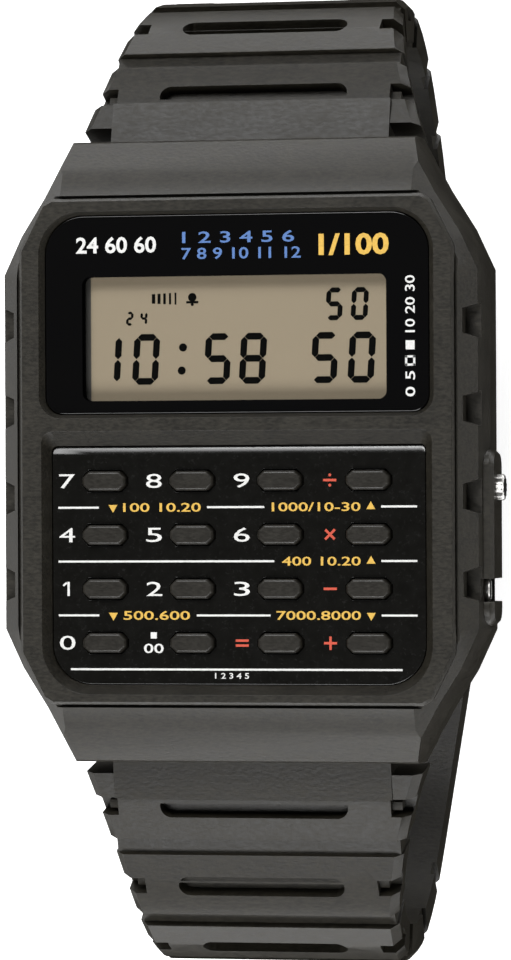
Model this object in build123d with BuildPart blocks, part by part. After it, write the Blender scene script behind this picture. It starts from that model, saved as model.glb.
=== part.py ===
from build123d import *
import os
from math import cos, pi, radians, sin, sqrt

os.makedirs("parts", exist_ok=True)

# Frame: Z is up out of the watch face, Y runs to 12 o'clock, X to 3 o'clock.
# The origin is the middle of the wrist side of the case back.

# General fits
running_gap = 0.05
seat_gap = 0.1
overrun = 1.0

# Case, outer form
case_width = 34.4
case_length = 43.2
case_height = 8.2
case_floor_z = 0.4
base_inset = 0.9
base_top_z = 2.2
flare = 0.5
flare_foot_z = 4.8
facet_width = 1.2
facet_foot_z = 6.8
facet_top_z = 8.0
flank_half_length = 12.4
corner_half_width = case_width / 2 - 1.3
corner_half_length = 15.2
hood_root_half_width = case_width / 2 - 3.0
hood_root_y = 17.9
hood_tip_half_width = case_width / 2 - 5.0
hood_fold_y = 19.2
hood_fold_z = 7.3
hood_tip_z = 5.2
hood_start_y = 17.7

# Raised deck that frames the window and the keypad
deck_half_width = case_width / 2 - 1.9
deck_half_length = 17.5
deck_shoulder_y = 13.9
deck_corner_half_width = deck_half_width - 1.6
deck_corner_y = 17.1
deck_end_half_width = deck_half_width - 2.3
deck_groove = 0.2
deck_groove_floor_z = 7.6
deck_edge = 0.2

# Trapezoid notches in the side facets
notch_pitch = 6.0
notch_first_y = 8.8
notch_count = 4
notch_outer_length = 2.7
notch_inner_length = 1.7
notch_depth = 0.9
notch_floor_z = 6.2

# Window over the display
window_half_width = deck_half_width - 1.4
window_low_y = 2.3
window_high_y = 16.6
window_high_radius = 3.0
window_low_radius = 1.5
lens_half_width = window_half_width - 0.4
lens_low_y = 2.6
lens_high_y = 16.3
lens_high_radius = 2.7
lens_low_radius = 1.2
lens_top_z = 7.75
lens_thickness = 0.9
sight_half_width = lens_half_width - 1.9
sight_low_y = 3.05
sight_high_y = 13.2

# Keypad recess and panel
pad_half_width = deck_half_width - 1.55
pad_low_y = -16.8
pad_high_y = 1.4
pad_high_radius = 0.8
pad_low_radius = 3.4
panel_half_width = pad_half_width - 0.6
panel_low_y = -16.1
panel_high_y = 0.35
panel_high_radius = 0.4
panel_low_radius = 2.8
panel_top_z = 7.4
panel_thickness = 0.7
panel_ledge = 0.8

# Keys
key_side_room = 1.5
key_pitch_x = (2 * panel_half_width - key_side_room) / 4
key_pitch_y = 3.73
key_first_x = -panel_half_width + 3.75
key_first_y = -2.05
key_length = 3.1
key_height = 1.35
key_point_length = 0.45
key_tip_height = 0.5
key_top_z = 7.85
key_edge = 0.12
key_gap = 0.08
key_flange_length = 3.9
key_flange_height = 2.1
key_flange_thickness = 0.45
key_travel = 0.45
key_names = (
    ("key_7", "key_8", "key_9", "key_divide"),
    ("key_4", "key_5", "key_6", "key_times"),
    ("key_1", "key_2", "key_3", "key_minus"),
    ("key_0", "key_point", "key_equals", "key_plus"),
)

# Cavity for the module
cavity_half_width = case_width / 2 - 3.6
cavity_half_length = 16.4
cavity_corner = 4.4
cavity_top_z = 6.0

# Case back, gasket and screws
back_half_width = case_width / 2 - 2.8
back_half_length = 17.0
back_corner = 1.8
back_thickness = 0.8
back_edge = 0.25
gasket_inset = 0.25
gasket_width = 0.4
gasket_height = 0.3
screw_x = back_half_width - 2.1
screw_y = 15.4
screw_radius = 0.5
screw_length = 2.6
screw_head_radius = 0.95
screw_head_height = 0.45
screw_head_sides = 18
screw_shank_sides = 10
screw_slot_width = 0.25
screw_slot_depth = 0.2

# Module: frame, board, display, contacts
module_gap = 0.25
module_floor_z = 1.2
module_wall = 0.9
module_web_z = 2.95
board_z = 3.2
board_thickness = 0.6
mat_thickness = 0.7
mat_low_y = -15.0
mat_high_y = 0.9
post_size = 1.4
glass_half_width = sight_half_width - 0.4
glass_low_y = 3.2
glass_high_y = 12.7
glass_thickness = 1.5
glass_top_z = 6.7
strip_width = 1.0
strip_inset = 0.2
reflector_thickness = 0.12
chip_x = -7.2
chip_y = 9.0
chip_size = 4.5
chip_thickness = 0.7
quartz_x = 7.6
quartz_y = 9.0
quartz_radius = 0.75
quartz_length = 5.0

# Battery, clip, buzzer
battery_radius = cavity_half_width - 3.6
battery_thickness = 1.6
battery_y = -5.0
battery_z = 1.3
battery_edge = 0.3
clip_width = 4.0
clip_thickness = 0.15
clip_hook_length = 1.2
buzzer_radius = 4.8
buzzer_thickness = 0.25
buzzer_y = 10.4
contact_wire = 0.2
contact_coil_radius = 0.7
contact_turns = 4
coil_corners = 8

# Side buttons: axis height and the common stem
button_z = 4.1
stem_radius = 0.58
stem_tip_x = cavity_half_width - 0.65
stem_groove_radius = 0.42
clip_disc_radius = 1.1
clip_disc_thickness = 0.25
clip_disc_sides = 18
clip_disc_x = cavity_half_width - 0.4
clip_mouth = 0.7
bore_shoulder_x = case_width / 2 - 2.3
head_root_x = case_width / 2 - 1.3
spring_wire = 0.16
spring_turns = 3
seal_section = 0.34
seal_offset = 0.55
seal_squeeze = 0.025
mode_y = -2.6
mode_head_radius = 0.92
mode_tip_x = case_width / 2 + 0.9
mode_flutes = 12
flute_depth = 0.14
adjust_y = -9.65
adjust_head_radius = 0.78
adjust_tip_x = case_width / 2 - 0.1
head_edge = 0.12

# Guard round the side buttons
guard_high_y = 0.0
guard_low_y = -12.1
guard_height = 3.8
guard_stand = 0.4
guard_radius = 1.2
guard_edge = 0.3
guard_gap_length = 1.6

# Spring bars and the strap seats in the case ends
bar_y = 19.6
bar_z = 2.0
bar_radius = 0.75
bar_tip_radius = 0.45
bar_tip_length = 1.2
bar_tip_sides = 12
seat_half_width = hood_tip_half_width - 2.2
seat_top_z = 4.35

# Strap halves
root_width = 2 * hood_tip_half_width - 0.4
root_thickness = 3.6
root_place = 2.6
tail_width = 18.3
tail_thickness = 2.4
taper_length = 16.0
thinning_length = 24.0
edge_bevel = 0.6
rib_pitch = 5.8
rib_groove = 1.2
rib_groove_depth = 0.5
rib_groove_step = 0.3
first_slot_place = 4.9
slot_lengths = (13.4, 11.9, 10.5)
slot_width = 1.6
slot_depth = 1.1
edge_notch_width = 1.5
edge_notch_length = 1.3
edge_notch_depth = 1.6
edge_tab_length = 0.6
edge_tab_width = 0.7
edge_tab_drop = 0.6

# Upper half: share of its length and turn in degrees of each stretch from the bar
upper_length = 51.8
upper_root_angle = 16.0
upper_bend_shares = (
    (0.058, 5), (0.093, 13), (0.112, 34), (0.112, 38), (0.100, 24), (0.100, 12),
    (0.077, 2), (0.126, 36), (0.222, 0),
)
upper_ribs = 5

# Lower half, the same way, with its flat tail under the buckle
lower_length = 86.2
lower_root_angle = 9.0
lower_bend_shares = (
    (0.035, 2), (0.056, 9), (0.067, 20), (0.067, 40), (0.067, 32), (0.070, 20),
    (0.058, 4), (0.190, 0), (0.063, 23), (0.063, 21), (0.264, 0),
)
lower_ribs = 5
hole_radius = 1.1
hole_sides = 12
hole_pitch = 5.4
hole_first_place = 43.0
hole_count = 7
tip_radius = 7.0
tip_shares = (0.45, 0.75, 0.92)

# Buckle on the upper half
eye_radius = 1.45
eye_gap_width = 3.4
buckle_side_gap = 0.2
buckle_arm_width = 1.8
buckle_reach = 10.6
buckle_front_width = 2.2
buckle_thickness = 2.2
buckle_edge = 0.35
tongue_width = 2.8
tongue_thickness = 0.8
tongue_overhang = 0.4
tongue_lift = 0.06
tongue_tip_width = 1.8

# Free loop
keeper_place = 44.5
keeper_length = 5.4
keeper_wall = 1.0
keeper_side_gap = 0.3
keeper_strap_gap = 0.15
keeper_room = 2.8

# Worked out from the sizes above
case_half_width = case_width / 2
case_half_length = case_length / 2
key_places = [
    (key_first_x + column * key_pitch_x, key_first_y - row * key_pitch_y)
    for row in range(len(key_names))
    for column in range(len(key_names[row]))
]
panel_floor_z = panel_top_z - panel_thickness
flange_top_z = panel_floor_z - key_gap
flange_floor_z = flange_top_z - key_flange_thickness
board_top_z = board_z + board_thickness
mat_top_z = board_top_z + mat_thickness
glass_floor_z = glass_top_z - glass_thickness
sides = (1, -1)


def quarter_outline(corners):
    """Closed outline from the corners of one quarter, mirrored about both axes."""
    outline = list(corners)
    outline += [(-x, y) for x, y in reversed(corners)]
    outline += [(-x, -y) for x, y in corners]
    outline += [(x, -y) for x, y in reversed(corners)]
    return outline


def cut_rectangle(half_width, half_length, corner):
    """Outline of a rectangle with its four corners cut off at 45 degrees."""
    return quarter_outline([
        (half_width, half_length - corner),
        (half_width - corner, half_length),
    ])


def rounded_field(half_width, low, high, low_radius, high_radius):
    """Sketch a rectangle with one corner radius at its low side and one at its high side."""
    with Locations((0, (low + high) / 2)):
        Rectangle(2 * half_width, high - low)
    corners = vertices().group_by(Axis.Y)
    fillet(corners[-1], high_radius)
    fillet(vertices().group_by(Axis.Y)[0], low_radius)


def key_outline(grow=0):
    """Corners of a key: a long hexagon with blunt points, grown by a gap on every side."""
    half_length = key_length / 2 + grow
    half_height = key_height / 2 + grow
    return quarter_outline([
        (half_length, key_tip_height / 2),
        (half_length - key_point_length, half_height),
    ])


def flute_outline(radius):
    """Corners of a round head with a sharp groove between each two flats."""
    corners = []
    for flute in range(mode_flutes):
        start = 2 * pi * flute / mode_flutes
        for share, reach in ((0, radius - flute_depth), (0.35, radius), (0.65, radius)):
            turn = start + share * 2 * pi / mode_flutes
            corners.append((reach * cos(turn), reach * sin(turn)))
    return corners


def strap_plane(side, place, length, root_angle, bend_shares):
    """Plane across a strap half, at a distance from its bar; its Y points at the wrist."""
    y = bar_y
    z = bar_z
    heading = radians(root_angle)
    rest = place
    for share, turn in bend_shares:
        stretch = share * length
        step = min(rest, stretch)
        half_bend = radians(turn) * step / stretch / 2
        chord = step * sin(half_bend) / half_bend if half_bend else step
        y += chord * cos(heading + half_bend)
        z -= chord * sin(heading + half_bend)
        heading += 2 * half_bend
        rest -= step
    return Plane(
        origin=(0, side * y, z),
        x_dir=(side, 0, 0),
        z_dir=(0, side * cos(heading), -sin(heading)),
    )


def strap_width(place):
    """Width of a strap half at a distance from its bar."""
    taper = max(0, 1 - (place - root_place) / taper_length)
    return tail_width + (root_width - tail_width) * taper ** 2


def strap_thickness(place):
    """Thickness of a strap half at a distance from its bar."""
    thinning = max(0, 1 - (place - root_place) / thinning_length)
    return tail_thickness + (root_thickness - tail_thickness) * min(1, thinning)


def outer_plane(plane, place):
    """Plane on the outer face of a strap half, with Z out of the strap."""
    out = -plane.y_dir
    return Plane(
        origin=plane.origin + out * strap_thickness(place) / 2,
        x_dir=(1, 0, 0),
        z_dir=out,
    )


def strap_section(width, thickness):
    """Sketch the section of a strap: bevelled along both edges of its outer face."""
    Rectangle(width, thickness)
    chamfer(vertices().group_by(Axis.Y)[0], edge_bevel)


def coil_points(radius, height, turns):
    """Corners of a coil about the local Z axis, a few to each turn."""
    points = []
    for corner in range(turns * coil_corners + 1):
        turn = 2 * pi * corner / coil_corners
        rise = height * corner / (turns * coil_corners)
        points.append((radius * cos(turn), radius * sin(turn), rise))
    return points


case_outline = quarter_outline([
    (case_half_width, flank_half_length),
    (corner_half_width, corner_half_length),
    (hood_root_half_width, hood_root_y),
    (hood_tip_half_width, case_half_length),
])
deck_outline = quarter_outline([
    (deck_half_width, deck_shoulder_y),
    (deck_corner_half_width, deck_corner_y),
    (deck_end_half_width, deck_half_length),
])
cavity_outline = cut_rectangle(cavity_half_width, cavity_half_length, cavity_corner)
module_outline = cut_rectangle(
    cavity_half_width - module_gap, cavity_half_length - module_gap, cavity_corner
)
back_outline = cut_rectangle(back_half_width, back_half_length, back_corner)
screw_places = [(x * screw_x, y * screw_y) for x in sides for y in sides]
buttons = (
    ("mode", mode_y, mode_head_radius, mode_tip_x),
    ("adjust", adjust_y, adjust_head_radius, adjust_tip_x),
)

# Case: one resin moulding, open at the back
with BuildPart() as case_body:
    with BuildSketch(Plane.XY.offset(case_floor_z)):
        Polygon(*case_outline, align=None)
        offset(amount=-base_inset, kind=Kind.INTERSECTION, mode=Mode.REPLACE)
    with BuildSketch(Plane.XY.offset(base_top_z)):
        Polygon(*case_outline, align=None)
    loft(ruled=True)
    with BuildSketch(Plane.XY.offset(base_top_z)):
        Polygon(*case_outline, align=None)
    extrude(amount=flare_foot_z - base_top_z)
    with BuildSketch(Plane.XY.offset(flare_foot_z)):
        Polygon(*case_outline, align=None)
    with BuildSketch(Plane.XY.offset(facet_foot_z)):
        Polygon(*case_outline, align=None)
        offset(amount=-flare, kind=Kind.INTERSECTION, mode=Mode.REPLACE)
    loft(ruled=True)
    with BuildSketch(Plane.XY.offset(facet_foot_z)):
        Polygon(*case_outline, align=None)
        offset(amount=-flare, kind=Kind.INTERSECTION, mode=Mode.REPLACE)
    with BuildSketch(Plane.XY.offset(facet_top_z)):
        Polygon(*case_outline, align=None)
        offset(amount=-flare - facet_width, kind=Kind.INTERSECTION, mode=Mode.REPLACE)
    loft(ruled=True)
    # Hoods that fall in two slopes to the straps
    for side in sides:
        with BuildSketch(Plane.YZ):
            Polygon(
                (side * hood_start_y, case_height + overrun),
                (side * hood_start_y, facet_top_z),
                (side * hood_fold_y, hood_fold_z),
                (side * case_half_length, hood_tip_z),
                (side * (case_half_length + overrun), hood_tip_z),
                (side * (case_half_length + overrun), case_height + overrun),
                align=None,
            )
        extrude(amount=case_width, both=True, mode=Mode.SUBTRACT)
    # Deck inside its groove
    with BuildSketch(Plane.XY.offset(deck_groove_floor_z)):
        Polygon(*deck_outline, align=None)
        offset(amount=deck_groove, kind=Kind.INTERSECTION, mode=Mode.REPLACE)
    extrude(amount=case_height - deck_groove_floor_z, mode=Mode.SUBTRACT)
    with BuildSketch(Plane.XY.offset(deck_groove_floor_z)):
        Polygon(*deck_outline, align=None)
    extrude(amount=case_height - deck_groove_floor_z)
    chamfer(faces().sort_by(Axis.Z)[-1].edges(), deck_edge)
    # Notches in the side facets
    facet_foot_x = case_half_width - flare
    with BuildSketch(Plane.XY.offset(notch_floor_z)):
        for side in sides:
            for step in range(notch_count):
                with Locations((side * facet_foot_x, notch_first_y - step * notch_pitch)):
                    Polygon(
                        (side * flare, notch_outer_length / 2),
                        (-side * notch_depth, notch_inner_length / 2),
                        (-side * notch_depth, -notch_inner_length / 2),
                        (side * flare, -notch_outer_length / 2),
                        align=None,
                    )
    extrude(amount=case_height - notch_floor_z, mode=Mode.SUBTRACT)
    # Guard round the side buttons
    with BuildSketch(Plane.YZ.offset(case_half_width - flare)):
        with Locations(((guard_low_y + guard_high_y) / 2, button_z)):
            RectangleRounded(guard_high_y - guard_low_y, guard_height, guard_radius)
    extrude(amount=flare + guard_stand)
    chamfer(faces().sort_by(Axis.X)[-1].edges(), guard_edge)
    with Locations((case_half_width + guard_stand, adjust_y, button_z)):
        Box(
            2 * (guard_stand + flare), guard_gap_length, guard_height + overrun,
            mode=Mode.SUBTRACT,
        )
    # Window: sloped frame, lens pocket and sight hole
    with BuildSketch(Plane.XY.offset(case_height)):
        rounded_field(
            window_half_width, window_low_y, window_high_y,
            window_low_radius, window_high_radius,
        )
    with BuildSketch(Plane.XY.offset(lens_top_z)):
        rounded_field(
            lens_half_width + running_gap, lens_low_y - running_gap,
            lens_high_y + running_gap, lens_low_radius, lens_high_radius,
        )
    loft(ruled=True, mode=Mode.SUBTRACT)
    with BuildSketch(Plane.XY.offset(lens_top_z)):
        rounded_field(
            lens_half_width + running_gap, lens_low_y - running_gap,
            lens_high_y + running_gap, lens_low_radius, lens_high_radius,
        )
    extrude(amount=-lens_thickness, mode=Mode.SUBTRACT)
    with BuildSketch(Plane.XY.offset(lens_top_z - lens_thickness)):
        with Locations((0, (sight_low_y + sight_high_y) / 2)):
            Rectangle(2 * sight_half_width, sight_high_y - sight_low_y)
    extrude(amount=cavity_top_z - lens_top_z + lens_thickness - overrun, mode=Mode.SUBTRACT)
    # Keypad: sloped frame, panel pocket and opening
    with BuildSketch(Plane.XY.offset(case_height)):
        rounded_field(pad_half_width, pad_low_y, pad_high_y, pad_low_radius, pad_high_radius)
    with BuildSketch(Plane.XY.offset(panel_top_z)):
        rounded_field(
            panel_half_width + running_gap, panel_low_y - running_gap,
            panel_high_y + running_gap, panel_low_radius, panel_high_radius,
        )
    loft(ruled=True, mode=Mode.SUBTRACT)
    with BuildSketch(Plane.XY.offset(panel_top_z)):
        rounded_field(
            panel_half_width + running_gap, panel_low_y - running_gap,
            panel_high_y + running_gap, panel_low_radius, panel_high_radius,
        )
    extrude(amount=-panel_thickness, mode=Mode.SUBTRACT)
    with BuildSketch(Plane.XY.offset(panel_floor_z)):
        rounded_field(
            panel_half_width - panel_ledge, panel_low_y + panel_ledge,
            panel_high_y - panel_ledge, panel_low_radius, panel_high_radius,
        )
    extrude(amount=cavity_top_z - panel_floor_z - overrun, mode=Mode.SUBTRACT)
    # Cavity, seat of the back, gasket groove and screw holes
    with BuildSketch(Plane.XY.offset(back_thickness)):
        Polygon(*cavity_outline, align=None)
    extrude(amount=cavity_top_z - back_thickness, mode=Mode.SUBTRACT)
    with BuildSketch(Plane.XY.offset(back_thickness)):
        Polygon(*back_outline, align=None)
        offset(amount=seat_gap, kind=Kind.INTERSECTION, mode=Mode.REPLACE)
    extrude(amount=-back_thickness, mode=Mode.SUBTRACT)
    with BuildSketch(Plane.XY.offset(back_thickness)):
        Polygon(*cavity_outline, align=None)
        offset(amount=gasket_inset + gasket_width, kind=Kind.INTERSECTION, mode=Mode.REPLACE)
        with BuildSketch(mode=Mode.SUBTRACT):
            Polygon(*cavity_outline, align=None)
            offset(amount=gasket_inset, kind=Kind.INTERSECTION, mode=Mode.REPLACE)
    extrude(amount=gasket_height, mode=Mode.SUBTRACT)
    with BuildSketch(Plane.XY.offset(back_thickness)):
        with Locations(*screw_places):
            RegularPolygon(screw_radius, screw_shank_sides)
    extrude(amount=screw_length, mode=Mode.SUBTRACT)
    # Strap seats between the lugs, and the spring bar holes through them
    barrel_radius = root_thickness / 2
    for side in sides:
        with BuildSketch(Plane.YZ):
            Polygon(
                (side * (bar_y - barrel_radius - seat_gap), -overrun),
                (side * (bar_y - barrel_radius - seat_gap), seat_top_z),
                (side * (case_half_length + overrun), seat_top_z),
                (side * (case_half_length + overrun), -overrun),
                align=None,
            )
        extrude(amount=seat_half_width, both=True, mode=Mode.SUBTRACT)
        with BuildSketch(Plane.YZ):
            with Locations((side * bar_y, bar_z)):
                Circle(bar_tip_radius + running_gap)
        extrude(amount=case_half_width, both=True, mode=Mode.SUBTRACT)
    # Stepped bores of the side buttons
    for _, button_y, head_radius, _ in buttons:
        with BuildSketch(Plane.YZ.offset(cavity_half_width - overrun)):
            with Locations((button_y, button_z)):
                Circle(stem_radius + running_gap)
        extrude(amount=case_half_width - cavity_half_width + overrun, mode=Mode.SUBTRACT)
        with BuildSketch(Plane.YZ.offset(bore_shoulder_x)):
            with Locations((button_y, button_z)):
                Circle(head_radius + running_gap)
        extrude(amount=case_half_width - bore_shoulder_x + overrun, mode=Mode.SUBTRACT)
case_body.part.label = "case_body"
export_step(case_body.part, "parts/case_body.step")

# Front lens
with BuildPart() as display_lens:
    with BuildSketch(Plane.XY.offset(lens_top_z)):
        rounded_field(
            lens_half_width, lens_low_y, lens_high_y, lens_low_radius, lens_high_radius
        )
    extrude(amount=-lens_thickness)
display_lens.part.label = "display_lens"
export_step(display_lens.part, "parts/display_lens.step")

# Keypad panel with a hexagonal hole for each key
with BuildPart() as keypad_panel:
    with BuildSketch(Plane.XY.offset(panel_floor_z)):
        rounded_field(
            panel_half_width, panel_low_y, panel_high_y, panel_low_radius, panel_high_radius
        )
        with Locations(*key_places):
            Polygon(*key_outline(key_gap), align=None, mode=Mode.SUBTRACT)
    extrude(amount=panel_thickness)
keypad_panel.part.label = "keypad_panel"
export_step(keypad_panel.part, "parts/keypad_panel.step")

# Keys: a long hexagon with blunt points on a hidden flange
for place, name in zip(key_places, sum(key_names, ())):
    with BuildPart() as key:
        with BuildSketch(Plane.XY.offset(flange_top_z)):
            with Locations(place):
                Polygon(*key_outline(), align=None)
        extrude(amount=key_top_z - flange_top_z)
        chamfer(faces().sort_by(Axis.Z)[-1].edges(), key_edge)
        with BuildSketch(Plane.XY.offset(flange_floor_z)):
            with Locations(place):
                Rectangle(key_flange_length, key_flange_height)
        extrude(amount=key_flange_thickness)
    key.part.label = name
    export_step(key.part, f"parts/{name}.step")

# Rubber mat under the keys, with a post for each
with BuildPart() as key_mat:
    with BuildSketch(Plane.XY.offset(board_top_z)):
        Polygon(*module_outline, align=None)
        offset(amount=-module_wall - seat_gap, kind=Kind.INTERSECTION, mode=Mode.REPLACE)
        with Locations((0, (mat_low_y + mat_high_y) / 2)):
            Rectangle(case_width, mat_high_y - mat_low_y, mode=Mode.INTERSECT)
    extrude(amount=mat_thickness)
    with BuildSketch(Plane.XY.offset(mat_top_z)):
        with Locations(*key_places):
            Rectangle(post_size, post_size)
    extrude(amount=flange_floor_z - key_travel - running_gap - mat_top_z)
key_mat.part.label = "key_mat"
export_step(key_mat.part, "parts/key_mat.step")

# Module frame: a tray with a shaped floor
with BuildPart() as module_frame:
    with BuildSketch(Plane.XY.offset(module_floor_z)):
        Polygon(*module_outline, align=None)
    extrude(amount=cavity_top_z - seat_gap - module_floor_z)
    with BuildSketch(Plane.XY.offset(board_z)):
        Polygon(*module_outline, align=None)
        offset(amount=-module_wall, kind=Kind.INTERSECTION, mode=Mode.REPLACE)
    extrude(amount=cavity_top_z - board_z, mode=Mode.SUBTRACT)
    with BuildSketch(Plane.XY.offset(module_web_z)):
        with Locations((0, battery_y)):
            Circle(battery_radius + seat_gap)
    extrude(amount=module_floor_z - module_web_z, mode=Mode.SUBTRACT)
    # Buzzer bay and the openings for what hangs below the board
    with BuildSketch(Plane.XY.offset(module_floor_z)):
        with Locations((0, buzzer_y)):
            Circle(contact_coil_radius + contact_wire + seat_gap)
        with Locations((chip_x, chip_y)):
            Rectangle(chip_size + 2 * seat_gap, chip_size + 2 * seat_gap)
        with Locations((quartz_x, quartz_y)):
            Rectangle(2 * (quartz_radius + seat_gap), quartz_length + 2 * seat_gap)
    extrude(amount=board_z - module_floor_z, mode=Mode.SUBTRACT)
    # Gaps in the wall behind the side buttons
    for _, button_y, _, _ in buttons:
        with Locations((cavity_half_width, button_y, cavity_top_z)):
            Box(
                2 * (module_wall + module_gap), 2 * (clip_disc_radius + seat_gap),
                2 * (cavity_top_z - board_z + clip_disc_radius),
                mode=Mode.SUBTRACT,
            )
    # Relief under the flanges of the corner keys
    with BuildSketch(Plane.XY.offset(flange_floor_z - key_travel - running_gap)):
        with Locations(*key_places):
            Rectangle(key_flange_length + 2 * seat_gap, key_flange_height + 2 * seat_gap)
    extrude(amount=key_travel, mode=Mode.SUBTRACT)
    # Seats of the battery clip
    with Locations((0, battery_y, module_floor_z)):
        Box(
            2 * (battery_radius + clip_hook_length + seat_gap), clip_width + 2 * seat_gap,
            2 * (clip_thickness + seat_gap),
            mode=Mode.SUBTRACT,
        )
module_frame.part.label = "module_frame"
export_step(module_frame.part, "parts/module_frame.step")

# Circuit board in the tray
with BuildPart() as circuit_board:
    with BuildSketch(Plane.XY.offset(board_z)):
        Polygon(*module_outline, align=None)
        offset(amount=-module_wall - seat_gap, kind=Kind.INTERSECTION, mode=Mode.REPLACE)
    extrude(amount=board_thickness)
circuit_board.part.label = "circuit_board"
export_step(circuit_board.part, "parts/circuit_board.step")

with BuildPart() as clock_chip:
    with BuildSketch(Plane.XY.offset(board_z)):
        with Locations((chip_x, chip_y)):
            Rectangle(chip_size, chip_size)
    extrude(amount=-chip_thickness)
clock_chip.part.label = "clock_chip"
export_step(clock_chip.part, "parts/clock_chip.step")

with BuildPart() as quartz_can:
    with Locations((quartz_x, quartz_y, board_z - quartz_radius)):
        Cylinder(quartz_radius, quartz_length, rotation=(90, 0, 0))
quartz_can.part.label = "quartz_can"
export_step(quartz_can.part, "parts/quartz_can.step")

# Display cell
with BuildPart() as lcd_glass:
    with BuildSketch(Plane.XY.offset(glass_floor_z)):
        with Locations((0, (glass_low_y + glass_high_y) / 2)):
            Rectangle(2 * glass_half_width, glass_high_y - glass_low_y)
    extrude(amount=glass_thickness)
lcd_glass.part.label = "lcd_glass"
export_step(lcd_glass.part, "parts/lcd_glass.step")

strip_low_y = glass_low_y + strip_inset + strip_width / 2
strip_high_y = glass_high_y - strip_inset - strip_width / 2
with BuildPart() as contact_strips:
    with BuildSketch(Plane.XY.offset(board_top_z)):
        with Locations((0, strip_low_y), (0, strip_high_y)):
            Rectangle(2 * (glass_half_width - strip_inset), strip_width)
    extrude(amount=glass_floor_z - board_top_z)
contact_strips.part.label = "contact_strips"
export_step(contact_strips.part, "parts/contact_strips.step")

with BuildPart() as lcd_reflector:
    with BuildSketch(Plane.XY.offset(glass_floor_z)):
        with Locations((0, (strip_low_y + strip_high_y) / 2)):
            Rectangle(
                2 * (glass_half_width - strip_inset),
                strip_high_y - strip_low_y - strip_width - 2 * seat_gap,
            )
    extrude(amount=-reflector_thickness)
lcd_reflector.part.label = "lcd_reflector"
export_step(lcd_reflector.part, "parts/lcd_reflector.step")

# Coin cell and the sprung strip across it
with BuildPart() as battery:
    with Locations((0, battery_y, battery_z)):
        Cylinder(
            battery_radius, battery_thickness,
            align=(Align.CENTER, Align.CENTER, Align.MIN),
        )
    chamfer(edges().group_by(Axis.Z)[0], battery_edge)
battery.part.label = "battery"
export_step(battery.part, "parts/battery.step")

with BuildPart() as battery_clip:
    with BuildSketch(Plane.XY.offset(battery_z)):
        with Locations((0, battery_y)):
            Rectangle(2 * (battery_radius + clip_hook_length), clip_width)
    extrude(amount=-clip_thickness)
battery_clip.part.label = "battery_clip"
export_step(battery_clip.part, "parts/battery_clip.step")

# Sounder disc on the back, and the coil that feeds it from the board
with BuildPart() as buzzer:
    with Locations((0, buzzer_y, back_thickness)):
        Cylinder(
            buzzer_radius, buzzer_thickness,
            align=(Align.CENTER, Align.CENTER, Align.MIN),
        )
buzzer.part.label = "buzzer"
export_step(buzzer.part, "parts/buzzer.step")

contact_low_z = back_thickness + buzzer_thickness + contact_wire
contact_height = board_z - contact_wire - contact_low_z
with BuildPart() as buzzer_spring:
    with BuildLine(Plane.XY.move(Location((0, buzzer_y, contact_low_z)))) as contact_coil:
        Polyline(*coil_points(contact_coil_radius, contact_height, contact_turns))
    with BuildSketch(Plane(contact_coil.wire() ^ 0)):
        Rectangle(contact_wire, contact_wire)
    sweep(transition=Transition.RIGHT)
buzzer_spring.part.label = "buzzer_spring"
export_step(buzzer_spring.part, "parts/buzzer_spring.step")

# Gasket, steel back and its four screws
with BuildPart() as case_gasket:
    with BuildSketch(Plane.XY.offset(back_thickness)):
        Polygon(*cavity_outline, align=None)
        offset(amount=gasket_inset + gasket_width, kind=Kind.INTERSECTION, mode=Mode.REPLACE)
        with BuildSketch(mode=Mode.SUBTRACT):
            Polygon(*cavity_outline, align=None)
            offset(amount=gasket_inset, kind=Kind.INTERSECTION, mode=Mode.REPLACE)
    extrude(amount=gasket_height)
case_gasket.part.label = "case_gasket"
export_step(case_gasket.part, "parts/case_gasket.step")

with BuildPart() as case_back:
    with BuildSketch():
        Polygon(*back_outline, align=None)
    extrude(amount=back_thickness)
    chamfer(faces().sort_by(Axis.Z)[0].edges(), back_edge)
    with BuildSketch():
        with Locations(*screw_places):
            RegularPolygon(screw_head_radius + running_gap, screw_head_sides)
    extrude(amount=screw_head_height, mode=Mode.SUBTRACT)
    with BuildSketch():
        with Locations(*screw_places):
            RegularPolygon(screw_radius + running_gap, screw_shank_sides)
    extrude(amount=back_thickness, mode=Mode.SUBTRACT)
case_back.part.label = "case_back"
export_step(case_back.part, "parts/case_back.step")

with BuildPart() as case_back_screws:
    with BuildSketch(Plane.XY.offset(screw_head_height)):
        with Locations(*screw_places):
            RegularPolygon(screw_head_radius, screw_head_sides)
    extrude(amount=-screw_head_height)
    with BuildSketch(Plane.XY.offset(screw_head_height)):
        with Locations(*screw_places):
            RegularPolygon(screw_radius - running_gap, screw_shank_sides)
    extrude(amount=back_thickness + screw_length - screw_head_height - seat_gap)
    with Locations(*screw_places):
        Box(
            2 * screw_head_radius, screw_slot_width, 2 * screw_slot_depth,
            mode=Mode.SUBTRACT,
        )
case_back_screws.part.label = "case_back_screws"
export_step(case_back_screws.part, "parts/case_back_screws.step")

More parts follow.
